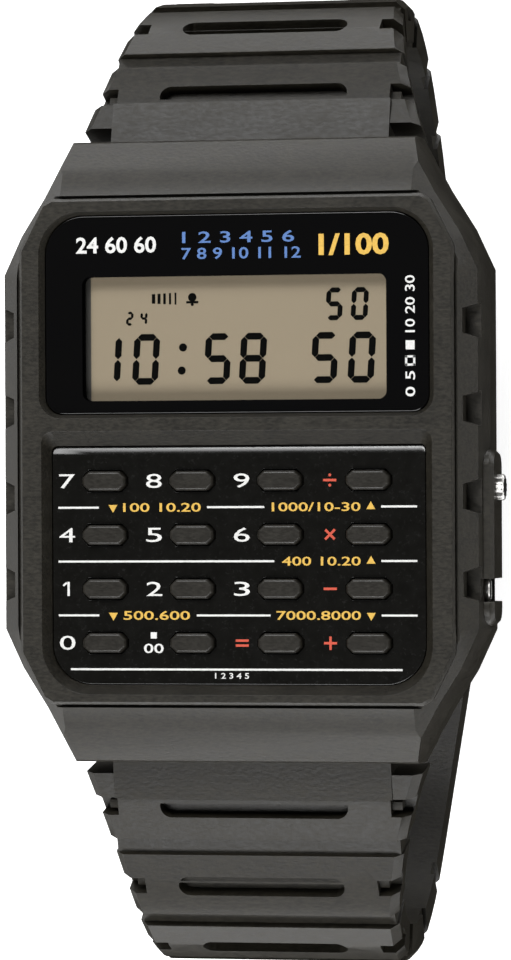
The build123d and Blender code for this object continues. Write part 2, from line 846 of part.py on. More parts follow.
# Side buttons, with the seal, the return spring and the retaining clip of each
for name, button_y, head_radius, tip_x in buttons:
    seal_x = head_root_x + seal_offset
    seal_outer_radius = head_radius + seal_squeeze
    seal_inner_radius = seal_outer_radius - seal_section
    with BuildPart() as button:
        with BuildSketch(Plane.YZ.offset(head_root_x)):
            with Locations((button_y, button_z)):
                Circle(head_radius)
        extrude(amount=seal_x + seal_section - head_root_x)
        with BuildSketch(Plane.YZ.offset(seal_x + seal_section)):
            with Locations((button_y, button_z)):
                if name == "mode":
                    Polygon(*flute_outline(head_radius), align=None)
                else:
                    Circle(head_radius)
        extrude(amount=tip_x - seal_x - seal_section)
        chamfer(edges().group_by(Axis.X)[-1], head_edge)
        with BuildSketch(Plane.YZ.offset(stem_tip_x)):
            with Locations((button_y, button_z)):
                Circle(stem_radius)
        extrude(amount=head_root_x - stem_tip_x)
        with BuildSketch(Plane.YZ.offset(seal_x)):
            with Locations((button_y, button_z)):
                Circle(head_radius)
                Circle(seal_inner_radius - running_gap / 2, mode=Mode.SUBTRACT)
        extrude(amount=seal_section / 2 + running_gap, both=True, mode=Mode.SUBTRACT)
        with BuildSketch(Plane.YZ.offset(clip_disc_x - running_gap)):
            with Locations((button_y, button_z)):
                Circle(stem_radius)
                Circle(stem_groove_radius, mode=Mode.SUBTRACT)
        extrude(amount=clip_disc_thickness + 2 * running_gap, mode=Mode.SUBTRACT)
        if name == "adjust":
            with Locations((tip_x, button_y, button_z)):
                Box(2 * head_edge, 2 * head_radius, 2 * head_edge, mode=Mode.SUBTRACT)
    button.part.label = f"{name}_button"
    export_step(button.part, f"parts/{name}_button.step")

    with BuildPart() as seal:
        with BuildSketch(Plane.YZ.offset(seal_x)):
            with Locations((button_y, button_z)):
                Circle(seal_outer_radius)
                Circle(seal_inner_radius, mode=Mode.SUBTRACT)
        extrude(amount=seal_section / 2, both=True)
    seal.part.label = f"{name}_seal"
    export_step(seal.part, f"parts/{name}_seal.step")

    with BuildPart() as clip:
        with BuildSketch(Plane.YZ.offset(clip_disc_x)):
            with Locations((button_y, button_z)):
                RegularPolygon(clip_disc_radius, clip_disc_sides)
                RegularPolygon(
                    stem_groove_radius + running_gap / 2, clip_disc_sides,
                    major_radius=False, mode=Mode.SUBTRACT,
                )
                with Locations((0, -clip_disc_radius / 2)):
                    Rectangle(clip_mouth, clip_disc_radius, mode=Mode.SUBTRACT)
        extrude(amount=clip_disc_thickness)
    clip.part.label = f"{name}_clip"
    export_step(clip.part, f"parts/{name}_clip.step")

    spring_low_x = bore_shoulder_x + spring_wire
    spring_reach = head_root_x - spring_wire - spring_low_x
    spring_radius = (head_radius + stem_radius) / 2 + running_gap / 2
    with BuildPart() as spring:
        spring_base = Plane(
            origin=(spring_low_x, button_y, button_z), x_dir=(0, 1, 0), z_dir=(1, 0, 0)
        )
        with BuildLine(spring_base) as coil:
            Polyline(*coil_points(spring_radius, spring_reach, spring_turns))
        with BuildSketch(Plane(coil.wire() ^ 0)):
            Rectangle(spring_wire, spring_wire)
        sweep(transition=Transition.RIGHT)
    spring.part.label = f"{name}_spring"
    export_step(spring.part, f"parts/{name}_spring.step")

# Spring bars in the case ends
for side, name in zip(sides, ("upper_spring_bar", "lower_spring_bar")):
    with BuildPart() as spring_bar:
        with BuildSketch(Plane.YZ):
            with Locations((side * bar_y, bar_z)):
                Circle(bar_radius)
        extrude(amount=seat_half_width - running_gap, both=True)
        with BuildSketch(Plane.YZ):
            with Locations((side * bar_y, bar_z)):
                RegularPolygon(bar_tip_radius, bar_tip_sides)
        extrude(amount=seat_half_width + bar_tip_length, both=True)
    spring_bar.part.label = name
    export_step(spring_bar.part, f"parts/{name}.step")

# Strap halves
halves = (
    ("upper_strap", 1, upper_length, upper_root_angle, upper_bend_shares, upper_ribs),
    ("lower_strap", -1, lower_length, lower_root_angle, lower_bend_shares, lower_ribs),
)
for name, side, length, root_angle, bend_shares, ribs in halves:
    def across(place):
        """Plane across this half at a distance from its bar."""
        return strap_plane(side, place, length, root_angle, bend_shares)

    # Stations: three to each rib, then closer in the last bend
    step = rib_pitch / 3
    places = [root_place + step * index for index in range(int((length - root_place) / step))]
    tongue_half_width = seat_half_width - seat_gap
    with BuildPart() as strap:
        if name == "lower_strap":
            places = [place for place in places if place < length - tip_radius - step / 2]
            places.append(length - tip_radius)
        else:
            places = [place for place in places if place < length - step / 2]
            places.append(length)
        for place in places:
            with BuildSketch(across(place)):
                strap_section(strap_width(place), strap_thickness(place))
        if name == "lower_strap":
            for share in tip_shares:
                with BuildSketch(across(length - tip_radius + share * tip_radius)):
                    strap_section(tail_width * sqrt(1 - share ** 2), tail_thickness)
        loft(ruled=True)
        # Root: a barrel on the bar and a narrow tongue between the lugs
        with BuildSketch(across(0)):
            Rectangle(2 * tongue_half_width, root_thickness)
        extrude(amount=root_place + step)
        with BuildSketch(Plane.YZ):
            with Locations((side * bar_y, bar_z)):
                Circle(root_thickness / 2)
        extrude(amount=tongue_half_width, both=True)
        with BuildSketch(Plane.YZ):
            with Locations((side * bar_y, bar_z)):
                Circle(bar_radius + running_gap)
        extrude(amount=root_width, both=True, mode=Mode.SUBTRACT)
        # Cross grooves between the ribs, stepped in at both edges
        for rib in range(ribs):
            place = first_slot_place + (rib + 1 / 2) * rib_pitch
            half_width = strap_width(place) / 2
            with Locations(outer_plane(across(place), place)):
                Box(
                    root_width + overrun, rib_groove, 2 * rib_groove_depth,
                    mode=Mode.SUBTRACT,
                )
                with Locations((half_width, 0), (-half_width, 0)):
                    Box(
                        2 * rib_groove_step, rib_groove, 3 * root_thickness,
                        mode=Mode.SUBTRACT,
                    )
        # Long slots and the notches beside them
        for index, slot_length in enumerate(slot_lengths):
            place = first_slot_place + index * rib_pitch
            half_width = strap_width(place) / 2
            face = outer_plane(across(place), place)
            with BuildSketch(face):
                SlotOverall(slot_length, slot_width)
            extrude(amount=-slot_depth, mode=Mode.SUBTRACT)
            with Locations(face):
                with Locations((half_width, 0), (-half_width, 0)):
                    Box(
                        2 * edge_notch_width, edge_notch_length, 2 * edge_notch_depth,
                        mode=Mode.SUBTRACT,
                    )
                tab_x = half_width - edge_notch_width + edge_tab_width / 2
                tab_height = edge_notch_depth - edge_tab_drop
                with Locations((tab_x, 0), (-tab_x, 0)):
                    with Locations((0, 0, -edge_notch_depth)):
                        Box(
                            edge_tab_width, edge_tab_length, tab_height,
                            align=(Align.CENTER, Align.CENTER, Align.MIN),
                        )
        if name == "lower_strap":
            # Holes for the buckle's tongue
            for index in range(hole_count):
                place = hole_first_place + index * hole_pitch
                with BuildSketch(outer_plane(across(place), place)):
                    RegularPolygon(hole_radius, hole_sides)
                extrude(amount=root_thickness, both=True, mode=Mode.SUBTRACT)
        else:
            # Two eyes round the buckle's bar, with a gap between them for the tongue
            end = across(length)
            buckle_y = end.origin.Y
            buckle_z = end.origin.Z
            with BuildSketch(Plane.YZ):
                with Locations((buckle_y, buckle_z)):
                    Circle(eye_radius)
            extrude(amount=tail_width / 2, both=True)
            with BuildSketch(Plane.YZ):
                with Locations((buckle_y, buckle_z)):
                    Circle(bar_radius + running_gap)
            extrude(amount=tail_width, both=True, mode=Mode.SUBTRACT)
            with Locations((0, buckle_y, buckle_z)):
                Box(eye_gap_width, 4 * eye_radius, 4 * eye_radius, mode=Mode.SUBTRACT)
    strap.part.label = name
    export_step(strap.part, f"parts/{name}.step")

# Buckle: level frame, bar and tongue
buckle_half_width = tail_width / 2 + buckle_side_gap + buckle_arm_width
window_half = buckle_half_width - buckle_arm_width
with BuildPart() as buckle_frame:
    with BuildSketch(Plane.XY.offset(buckle_z)):
        with Locations((0, buckle_y + eye_radius)):
            Rectangle(
                2 * buckle_half_width, buckle_reach + eye_radius,
                align=(Align.CENTER, Align.MAX),
            )
        fillet(vertices().group_by(Axis.Y)[0], buckle_front_width)
        with Locations((0, buckle_y - buckle_reach + buckle_front_width)):
            Rectangle(
                2 * window_half, buckle_reach + 2 * eye_radius,
                align=(Align.CENTER, Align.MIN), mode=Mode.SUBTRACT,
            )
    extrude(amount=buckle_thickness / 2, both=True)
    chamfer(
        edges().filter_by(Axis.X).group_by(Axis.Y)[0]
        + edges().filter_by(Axis.Y).group_by(Axis.X)[0]
        + edges().filter_by(Axis.Y).group_by(Axis.X)[-1],
        buckle_edge,
    )
    with BuildSketch(Plane.YZ):
        with Locations((buckle_y, buckle_z)):
            Circle(bar_tip_radius + running_gap)
    extrude(amount=buckle_half_width + overrun, both=True, mode=Mode.SUBTRACT)
buckle_frame.part.label = "buckle_frame"
export_step(buckle_frame.part, "parts/buckle_frame.step")

with BuildPart() as buckle_bar:
    with BuildSketch(Plane.YZ):
        with Locations((buckle_y, buckle_z)):
            Circle(bar_radius)
    extrude(amount=tail_width / 2, both=True)
    with BuildSketch(Plane.YZ):
        with Locations((buckle_y, buckle_z)):
            RegularPolygon(bar_tip_radius, bar_tip_sides)
    extrude(amount=window_half + bar_tip_length, both=True)
buckle_bar.part.label = "buckle_bar"
export_step(buckle_bar.part, "parts/buckle_bar.step")

blade_top_z = buckle_z - buckle_thickness / 2 - tongue_lift
with BuildPart() as buckle_tongue:
    with BuildSketch(Plane.YZ):
        with Locations((buckle_y, buckle_z)):
            Circle(eye_radius)
        with Locations((buckle_y, blade_top_z)):
            Rectangle(
                buckle_reach + tongue_overhang, tongue_thickness,
                align=(Align.MAX, Align.MAX),
            )
        with Locations((buckle_y, buckle_z)):
            Circle(bar_radius + running_gap, mode=Mode.SUBTRACT)
    extrude(amount=tongue_width / 2, both=True)
    tip_y = buckle_y - buckle_reach - tongue_overhang
    with BuildSketch(Plane.XY.offset(blade_top_z)):
        for side in sides:
            Polygon(
                (side * tongue_tip_width / 2, tip_y - overrun),
                (side * tongue_tip_width / 2, tip_y),
                (side * tongue_width / 2, tip_y + buckle_front_width),
                (side * tongue_width, tip_y + buckle_front_width),
                (side * tongue_width, tip_y - overrun),
                align=None,
            )
    extrude(amount=2 * tongue_thickness, both=True, mode=Mode.SUBTRACT)
buckle_tongue.part.label = "buckle_tongue"
export_step(buckle_tongue.part, "parts/buckle_tongue.step")

# Free loop round the straight stretch of the upper half
keeper_plane = strap_plane(1, keeper_place, upper_length, upper_root_angle, upper_bend_shares)
keeper_inner_width = tail_width + 2 * keeper_side_gap
keeper_inner_height = tail_thickness + keeper_strap_gap + keeper_room
keeper_shift = (keeper_room - keeper_strap_gap) / 2
with BuildPart() as strap_keeper:
    with BuildSketch(keeper_plane):
        with Locations((0, -keeper_shift)):
            RectangleRounded(
                keeper_inner_width + 2 * keeper_wall, keeper_inner_height + 2 * keeper_wall,
                keeper_wall,
            )
            Rectangle(keeper_inner_width, keeper_inner_height, mode=Mode.SUBTRACT)
    extrude(amount=keeper_length)
strap_keeper.part.label = "strap_keeper"
export_step(strap_keeper.part, "parts/strap_keeper.step")

print(f"buckle bar at y {buckle_y:.3f}, z {buckle_z:.3f}")
print(f"keeper at y {keeper_plane.origin.Y:.3f}, z {keeper_plane.origin.Z:.3f}")
print(f"keeper slides along {keeper_plane.z_dir}")
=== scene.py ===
"""Dress the calculator watch: moulded resin, display window, keypad, prints, metal and studio."""

import logging
import math
from dataclasses import dataclass, field
from enum import Enum

import bmesh
import bpy
from mathutils import Euler, Matrix, Vector


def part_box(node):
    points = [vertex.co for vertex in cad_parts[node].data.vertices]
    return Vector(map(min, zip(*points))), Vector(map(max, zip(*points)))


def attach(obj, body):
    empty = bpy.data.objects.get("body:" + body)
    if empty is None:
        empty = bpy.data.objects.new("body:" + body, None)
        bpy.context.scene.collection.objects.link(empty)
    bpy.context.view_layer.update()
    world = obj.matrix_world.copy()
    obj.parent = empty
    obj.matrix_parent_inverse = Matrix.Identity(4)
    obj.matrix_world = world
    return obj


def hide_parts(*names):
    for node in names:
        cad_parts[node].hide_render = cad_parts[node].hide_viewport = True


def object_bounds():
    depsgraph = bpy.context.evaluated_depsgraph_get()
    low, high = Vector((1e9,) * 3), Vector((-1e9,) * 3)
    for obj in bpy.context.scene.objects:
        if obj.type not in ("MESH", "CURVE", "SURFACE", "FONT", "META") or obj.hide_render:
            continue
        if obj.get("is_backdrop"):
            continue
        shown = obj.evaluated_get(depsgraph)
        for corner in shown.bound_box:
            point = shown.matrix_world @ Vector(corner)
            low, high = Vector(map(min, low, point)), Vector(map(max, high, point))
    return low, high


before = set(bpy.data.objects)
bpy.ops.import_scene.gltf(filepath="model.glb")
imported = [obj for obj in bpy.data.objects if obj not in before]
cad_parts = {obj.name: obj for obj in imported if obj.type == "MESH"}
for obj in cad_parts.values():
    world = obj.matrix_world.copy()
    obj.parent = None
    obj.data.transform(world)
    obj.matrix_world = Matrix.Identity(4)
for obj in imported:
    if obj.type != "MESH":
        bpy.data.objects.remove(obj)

LOG = logging.getLogger("calculator_watch")
MM = 0.001
MERGE_DISTANCE = 1e-7
SMOOTH_ANGLE = 32.0
PLAIN_CREASE = 30.0
SHARP_CREASE = 40.0
ROUNDING_STEPS = 2

Colour = tuple[float, float, float, float]
Point = tuple[float, float, float]
Value = "float | Channel"


class Tone(Enum):
    """Linear colours of the watch's plastics, inks and metals."""

    RESIN_DEEP = (0.0078, 0.0068, 0.0046, 1.0)
    RESIN_WORN = (0.034, 0.0298, 0.021, 1.0)
    PLATE_BLACK = (0.0036, 0.0034, 0.0028, 1.0)
    PLATE_GREY = (0.0066, 0.0064, 0.0054, 1.0)
    KEY_GREY = (0.011, 0.0097, 0.0074, 1.0)
    KEY_WORN = (0.027, 0.024, 0.018, 1.0)
    LENS_BLACK = (0.0032, 0.0032, 0.0036, 1.0)
    CELL_TAN = (0.4, 0.33, 0.226, 1.0)
    CELL_SHADE = (0.38, 0.313, 0.214, 1.0)
    # Dark rim of the cell; where it shows at the window's left edge it is painted shadow.
    CELL_RIM_SHADOW = (0.06, 0.058, 0.052, 1.0)
    CRYSTAL_DARK = (0.0022, 0.0024, 0.002, 1.0)
    INK_WHITE = (0.88, 0.88, 0.86, 1.0)
    INK_YELLOW = (0.84, 0.52, 0.09, 1.0)
    INK_ORANGE = (0.7, 0.095, 0.05, 1.0)
    INK_BLUE = (0.105, 0.225, 0.54, 1.0)
    STEEL_BRIGHT = (0.66, 0.65, 0.63, 1.0)
    STEEL_DULL = (0.4, 0.395, 0.385, 1.0)
    RUBBER_BLACK = (0.016, 0.016, 0.016, 1.0)
    RUBBER_DUSTY = (0.034, 0.033, 0.032, 1.0)
    BOARD_GREEN = (0.012, 0.11, 0.04, 1.0)
    BOARD_TRACK = (0.03, 0.2, 0.075, 1.0)
    BRASS_BRIGHT = (0.72, 0.5, 0.2, 1.0)
    BRASS_STAINED = (0.45, 0.29, 0.1, 1.0)
    HOUSING_BLACK = (0.02, 0.02, 0.021, 1.0)
    HOUSING_GREY = (0.042, 0.042, 0.043, 1.0)
    FLOOR_WHITE = (0.93, 0.93, 0.93, 1.0)
    FLOOR_GREY = (0.915, 0.915, 0.915, 1.0)


class Channel:
    """A shader value that takes part in Python sums."""

    def __init__(self, tree: bpy.types.NodeTree, socket: bpy.types.NodeSocket) -> None:
        """Wrap one output socket.

        Args:
            tree: The node tree that holds the socket.
            socket: The output that carries the value.
        """
        self.tree = tree
        self.socket = socket

    def _sum(self, operation: str, first: Value, second: Value) -> "Channel":
        """Add one Math node.

        Args:
            operation: The Math node's operation.
            first: The left value.
            second: The right value.

        Returns:
            The node's result.
        """
        node = self.tree.nodes.new("ShaderNodeMath")
        node.operation = operation
        for place, value in enumerate((first, second)):
            if isinstance(value, Channel):
                self.tree.links.new(value.socket, node.inputs[place])
            else:
                node.inputs[place].default_value = value
        return Channel(self.tree, node.outputs[0])

    def __add__(self, other: Value) -> "Channel":
        """Return the sum."""
        return self._sum("ADD", self, other)

    def __radd__(self, other: Value) -> "Channel":
        """Return the sum with a number on the left."""
        return self._sum("ADD", other, self)

    def __sub__(self, other: Value) -> "Channel":
        """Return the difference."""
        return self._sum("SUBTRACT", self, other)

    def __rsub__(self, other: Value) -> "Channel":
        """Return the difference from a number on the left."""
        return self._sum("SUBTRACT", other, self)

    def __mul__(self, other: Value) -> "Channel":
        """Return the product."""
        return self._sum("MULTIPLY", self, other)

    def __truediv__(self, other: Value) -> "Channel":
        """Return the quotient."""
        return self._sum("DIVIDE", self, other)

    def __pow__(self, other: Value) -> "Channel":
        """Return the power."""
        return self._sum("POWER", self, other)

    def lowest(self, other: Value) -> "Channel":
        """Return the lower of two values."""
        return self._sum("MINIMUM", self, other)

    def highest(self, other: Value) -> "Channel":
        """Return the higher of two values."""
        return self._sum("MAXIMUM", self, other)

    def distance(self) -> "Channel":
        """Return the value without its sign."""
        return self._sum("ABSOLUTE", self, 0.0)


class Recipe:
    """The node tree of one material, or of the room."""

    def __init__(self, owner: "bpy.types.Material | bpy.types.World", place: str = "Object") -> None:
        """Start an empty tree.

        Args:
            owner: The material or world that gets the tree.
            place: The coordinate that its patterns read.
        """
        self.owner = owner
        self.owner.use_nodes = True
        self.tree = self.owner.node_tree
        self.tree.nodes.clear()
        self.place = self.node("ShaderNodeTexCoord", output=place)

    @classmethod
    def named(cls, name: str) -> "Recipe":
        """Start a new material of this name."""
        return cls(bpy.data.materials.new(name))

    def node(
        self,
        kind: str,
        settings: dict | None = None,
        inputs: dict | None = None,
        output: str | int = 0,
    ) -> Channel:
        """Add any node, set it and link it.

        Args:
            kind: The node's type.
            settings: Its properties by name; ramp stops go under "stops".
            inputs: The values or channels of its sockets by name or number.
            output: The output to read.

        Returns:
            The chosen output.
        """
        node = self.tree.nodes.new(kind)
        for name, value in (settings or {}).items():
            if name == "stops":
                self._set_stops(node.color_ramp, value)
            else:
                setattr(node, name, value)
        for name, value in (inputs or {}).items():
            socket = node.inputs[name]
            if isinstance(value, Channel):
                self.tree.links.new(value.socket, socket)
            else:
                socket.default_value = value
        return Channel(self.tree, node.outputs[output])

    @staticmethod
    def _set_stops(ramp: bpy.types.ColorRamp, stops: tuple) -> None:
        """Give a ramp its stops.

        Args:
            ramp: The ramp of a Color Ramp node.
            stops: Pairs of place and grey value.
        """
        while len(ramp.elements) < len(stops):
            ramp.elements.new(1.0)
        for element, (place, grey) in zip(ramp.elements, stops):
            element.position = place
            element.color = (grey, grey, grey, 1.0)

    def noise(
        self, size: float, detail: float = 3.0, rough: float = 0.55, drawn: Point | None = None
    ) -> Channel:
        """Return even or drawn out noise.

        Args:
            size: The size of one cloud, in metres.
            detail: The number of finer layers.
            rough: How strong the finer layers are.
            drawn: The scale along each axis, where the clouds are drawn out.

        Returns:
            Noise between 0 and 1.
        """
        place = self.place
        if drawn:
            place = self.node("ShaderNodeMapping", inputs={"Vector": place, "Scale": drawn})
        return self.node(
            "ShaderNodeTexNoise",
            inputs={
                "Vector": place, "Scale": 1.0 / size, "Detail": detail, "Roughness": rough,
            },
        )

    def pits(self, size: float) -> Channel:
        """Return a field of small cells, as a spark-eroded mould leaves.

        Args:
            size: The size of one cell, in metres.

        Returns:
            The distance from the nearest cell's middle, in cells.
        """
        return self.node(
            "ShaderNodeTexVoronoi", inputs={"Vector": self.place, "Scale": 1.0 / size}
        )

    def ramp(self, value: Channel, *stops: tuple[float, float]) -> Channel:
        """Return the value passed through a grey ramp.

        Args:
            value: What the ramp reads.
            stops: Pairs of place and grey value.

        Returns:
            The ramp's grey value.
        """
        return self.node("ShaderNodeValToRGB", {"stops": stops}, {"Fac": value})

    def blend(self, share: Value, first: "Tone | Channel", second: "Tone | Channel") -> Channel:
        """Return a mix of two colours.

        Args:
            share: The share of the second colour.
            first: The colour at share 0.
            second: The colour at share 1.

        Returns:
            The mixed colour.
        """
        node = self.tree.nodes.new("ShaderNodeMix")
        node.data_type = "RGBA"
        by_place = {0: share, 6: first, 7: second}
        for place, value in by_place.items():
            if isinstance(value, Channel):
                self.tree.links.new(value.socket, node.inputs[place])
            elif isinstance(value, Tone):
                node.inputs[place].default_value = value.value
            else:
                node.inputs[place].default_value = value
        return Channel(self.tree, node.outputs[2])

    def axis(self, name: str) -> Channel:
        """Return one object coordinate, in metres."""
        return self.node("ShaderNodeSeparateXYZ", inputs={"Vector": self.place}, output=name)

    def field(
        self, low: tuple[float, float], high: tuple[float, float], soft: float, corner: float
    ) -> Channel:
        """Return a mask of a rounded rectangle on the face.

        Args:
            low: The rectangle's lowest x and y, in metres.
            high: Its highest x and y, in metres.
            soft: The width of its soft edge, in metres.
            corner: The radius of its corners, in metres.

        Returns:
            1 inside and 0 outside.
        """
        reach: Channel | None = None
        for number, name in enumerate("XY"):
            middle = (low[number] + high[number]) / 2
            half = (high[number] - low[number]) / 2
            past = ((self.axis(name) - middle).distance() - (half - corner)).highest(0.0)
            reach = past * past if reach is None else reach + past * past
        return ((corner - reach ** 0.5) / soft).lowest(1.0).highest(0.0)

    def bump(self, height: Channel, depth: float, strength: float = 1.0) -> Channel:
        """Return a normal bent by a height.

        Args:
            height: The height, 0 to 1.
            depth: The depth of a full step, in metres.
            strength: The share of the bend that is kept.

        Returns:
            The bent normal.
        """
        return self.node(
            "ShaderNodeBump",
            inputs={"Strength": strength, "Distance": depth, "Height": height},
        )

    def shade(self, **sockets: "Value | Colour") -> bpy.types.Material:
        """Finish the material with a Principled shader.

        Args:
            sockets: Values by the shader's socket names, with _ for a space.

        Returns:
            The finished material.
        """
        names = {name.replace("_", " "): value for name, value in sockets.items()}
        shader = self.node("ShaderNodeBsdfPrincipled", inputs=names)
        out = self.tree.nodes.new("ShaderNodeOutputMaterial")
        self.tree.links.new(shader.socket, out.inputs["Surface"])
        return self.owner


@dataclass(frozen=True)
class MouldedResin:
    """Satin moulded resin with mould grain, fine scuffs and dusty wear."""

    name: str
    deep: Tone = Tone.RESIN_DEEP
    worn: Tone = Tone.RESIN_WORN
    grain: float = 0.00016
    cloud: float = 0.0022
    depth: float = 0.000014
    roughness: float = 0.42
    gloss: float = 0.42
    drawn: Point = (0.4, 1.0, 1.0)

    def make(self) -> bpy.types.Material:
        """Return the material."""
        recipe = Recipe.named(self.name)
        cloud = recipe.noise(self.cloud, 5.0, 0.62)
        grain = recipe.noise(self.grain, 3.0, 0.6, self.drawn)
        speck = recipe.ramp(grain, (0.36, 0.0), (0.66, 1.0))
        pits = recipe.pits(self.grain * 1.7)
        scuff = recipe.ramp(recipe.noise(self.cloud * 0.35, 6.0, 0.7), (0.5, 0.0), (0.72, 1.0))
        wear = recipe.ramp(cloud, (0.34, 0.0), (0.7, 1.0))
        colour = recipe.blend(speck * 0.5 + wear * 0.25 + scuff * 0.2, self.deep, self.worn)
        relief = grain * 0.6 + pits * 0.4
        return recipe.shade(
            Base_Color=colour,
            Roughness=self.roughness + (cloud - 0.5) * 0.1 + speck * 0.08,
            Specular_IOR_Level=self.gloss,
            Normal=recipe.bump(relief, self.depth),
        )


@dataclass(frozen=True)
class BlackPlate:
    """Flat black plate with a faint orange peel under its prints."""

    name: str
    roughness: float = 0.22
    peel: float = 0.0009
    depth: float = 0.000002

    def make(self) -> bpy.types.Material:
        """Return the material."""
        recipe = Recipe.named(self.name)
        peel = recipe.noise(self.peel, 3.0, 0.5)
        dust = recipe.ramp(recipe.noise(self.peel * 0.3, 5.0, 0.7), (0.55, 0.0), (0.75, 1.0))
        return recipe.shade(
            Base_Color=recipe.blend(peel * 0.6 + dust * 0.4, Tone.PLATE_BLACK, Tone.PLATE_GREY),
            Roughness=self.roughness + dust * 0.12 + (peel - 0.5) * 0.08,
            Normal=recipe.bump(peel, self.depth),
        )


@dataclass(frozen=True)
class WindowGlass:
    """Clear lens whose black mask leaves the viewing field open."""

    name: str
    low: tuple[float, float]
    high: tuple[float, float]
    mask_edge: float = 0.00004
    corner: float = 0.0006
    clear: float = 0.07
    smear: float = 0.006

    def make(self) -> bpy.types.Material:
        """Return the material."""
        recipe = Recipe.named(self.name)
        opening = recipe.field(self.low, self.high, self.mask_edge, self.corner)
        smear = recipe.noise(self.smear, 4.0, 0.6)
        return recipe.shade(
            Base_Color=recipe.blend(smear * 0.5, Tone.LENS_BLACK, Tone.PLATE_BLACK),
            Roughness=0.06 + smear * 0.07,
            Alpha=1.0 - opening * (1.0 - self.clear),
            Normal=recipe.bump(recipe.noise(self.smear * 0.4, 2.0), 0.000004, 0.5),
            IOR=1.49,
        )


@dataclass(frozen=True)
class DisplayCell:
    """Tan liquid crystal cell with a fine polariser grain and a dark rim, part of which is a painted
    shadow band along the window's left edge.
    """

    name: str
    low: tuple[float, float]
    high: tuple[float, float]
    grain: float = 0.00013

    def make(self) -> bpy.types.Material:
        """Return the material."""
        recipe = Recipe.named(self.name)
        inside = recipe.field(self.low, self.high, 0.00006, 0.0005)
        grain = recipe.noise(self.grain, 2.0, 0.6)
        drift = recipe.noise(0.009, 2.0, 0.5)
        tan = recipe.blend(grain * 0.45 + drift * 0.55, Tone.CELL_SHADE, Tone.CELL_TAN)
        return recipe.shade(
            # Outside its field the cell takes the dark rim tone, which paints a shadow band at the
            # left of the window.
            Base_Color=recipe.blend(inside, Tone.CELL_RIM_SHADOW, tan),
            Roughness=0.42 + grain * 0.12,
            Normal=recipe.bump(grain, 0.000004),
        )


@dataclass(frozen=True)
class Ink:
    """Screen printed ink, a little uneven in its cover."""

    name: str
    tone: Tone
    roughness: float = 0.5
    thin: float = 0.82
    gloss: float = 0.5

    def make(self) -> bpy.types.Material:
        """Return the material."""
        recipe = Recipe.named(self.name)
        cover = recipe.ramp(recipe.noise(0.00022, 3.0, 0.6), (0.3, self.thin), (0.62, 1.0))
        return recipe.shade(
            Base_Color=recipe.blend(cover, Tone.PLATE_GREY, self.tone),
            Roughness=self.roughness + (1.0 - cover) * 0.3,
            Specular_IOR_Level=self.gloss,
            Normal=recipe.bump(recipe.noise(0.00012, 2.0), 0.000005),
        )


@dataclass(frozen=True)
class Metal:
    """Metal with brushed or turned lines, fine scratches and dulled patches."""

    name: str
    bright: Tone = Tone.STEEL_BRIGHT
    dull: Tone = Tone.STEEL_DULL
    line: float = 0.00006
    stretch: Point = (0.03, 1.0, 1.0)
    roughness: float = 0.28

    def make(self) -> bpy.types.Material:
        """Return the material."""
        recipe = Recipe.named(self.name)
        lines = recipe.noise(self.line, 3.0, 0.5, self.stretch)
        patches = recipe.ramp(recipe.noise(0.0016, 5.0, 0.65), (0.42, 0.0), (0.74, 1.0))
        return recipe.shade(
            Base_Color=recipe.blend(patches * 0.55 + lines * 0.3, self.bright, self.dull),
            Metallic=1.0,
            Roughness=self.roughness + lines * 0.12 + patches * 0.12,
            Normal=recipe.bump(lines, 0.000003),
        )


@dataclass(frozen=True)
class SoftRubber:
    """Matt rubber with a powdery bloom."""

    name: str
    roughness: float = 0.72

    def make(self) -> bpy.types.Material:
        """Return the material."""
        recipe = Recipe.named(self.name)
        bloom = recipe.noise(0.0012, 4.0, 0.6)
        grain = recipe.noise(0.00015, 2.0)
        return recipe.shade(
            Base_Color=recipe.blend(bloom, Tone.RUBBER_BLACK, Tone.RUBBER_DUSTY),
            Roughness=self.roughness + (grain - 0.5) * 0.2,
            Normal=recipe.bump(grain, 0.00001),
        )


@dataclass(frozen=True)
class PrintedBoard:
    """Circuit board in green lacquer, with tracks that show through it."""

    name: str
    track: float = 0.0011

    def make(self) -> bpy.types.Material:
        """Return the material."""
        recipe = Recipe.named(self.name)
        wave = recipe.node(
            "ShaderNodeTexWave",
            {"wave_type": "BANDS", "bands_direction": "DIAGONAL"},
            {"Vector": recipe.place, "Scale": 0.05 / self.track, "Distortion": 3.0},
        )
        track = recipe.ramp(wave, (0.45, 0.0), (0.55, 1.0))
        weave = recipe.noise(0.0003, 2.0)
        return recipe.shade(
            Base_Color=recipe.blend(track * 0.8 + weave * 0.2, Tone.BOARD_GREEN, Tone.BOARD_TRACK),
            Roughness=0.3 + weave * 0.15,
            Normal=recipe.bump(track, 0.000012),
        )


@dataclass(frozen=True)
class StudioPaper:
    """White seamless paper of the studio floor."""

    name: str
    glow: float = 0.75

    def make(self) -> bpy.types.Material:
        """Return the material."""
        recipe = Recipe.named(self.name)
        fibre = recipe.noise(0.002, 3.0)
        return recipe.shade(
            Base_Color=recipe.blend(fibre, Tone.FLOOR_GREY, Tone.FLOOR_WHITE),
            Roughness=0.9,
            Emission_Color=(1.0, 1.0, 1.0, 1.0),
            Emission_Strength=self.glow,
        )


def node_mesh(node: str) -> bmesh.types.BMesh:
    """Copy a frame node's triangles and merge them into a closed shape.

    Args:
        node: The node's name.

    Returns:
        The merged copy, with its flat faces joined.
    """
    shape = bmesh.new()
    shape.from_mesh(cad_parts[node].data)
    bmesh.ops.remove_doubles(shape, verts=shape.verts, dist=MERGE_DISTANCE * 10)
    bmesh.ops.dissolve_limit(
        shape, angle_limit=math.radians(0.6), verts=shape.verts, edges=shape.edges
    )
    return shape


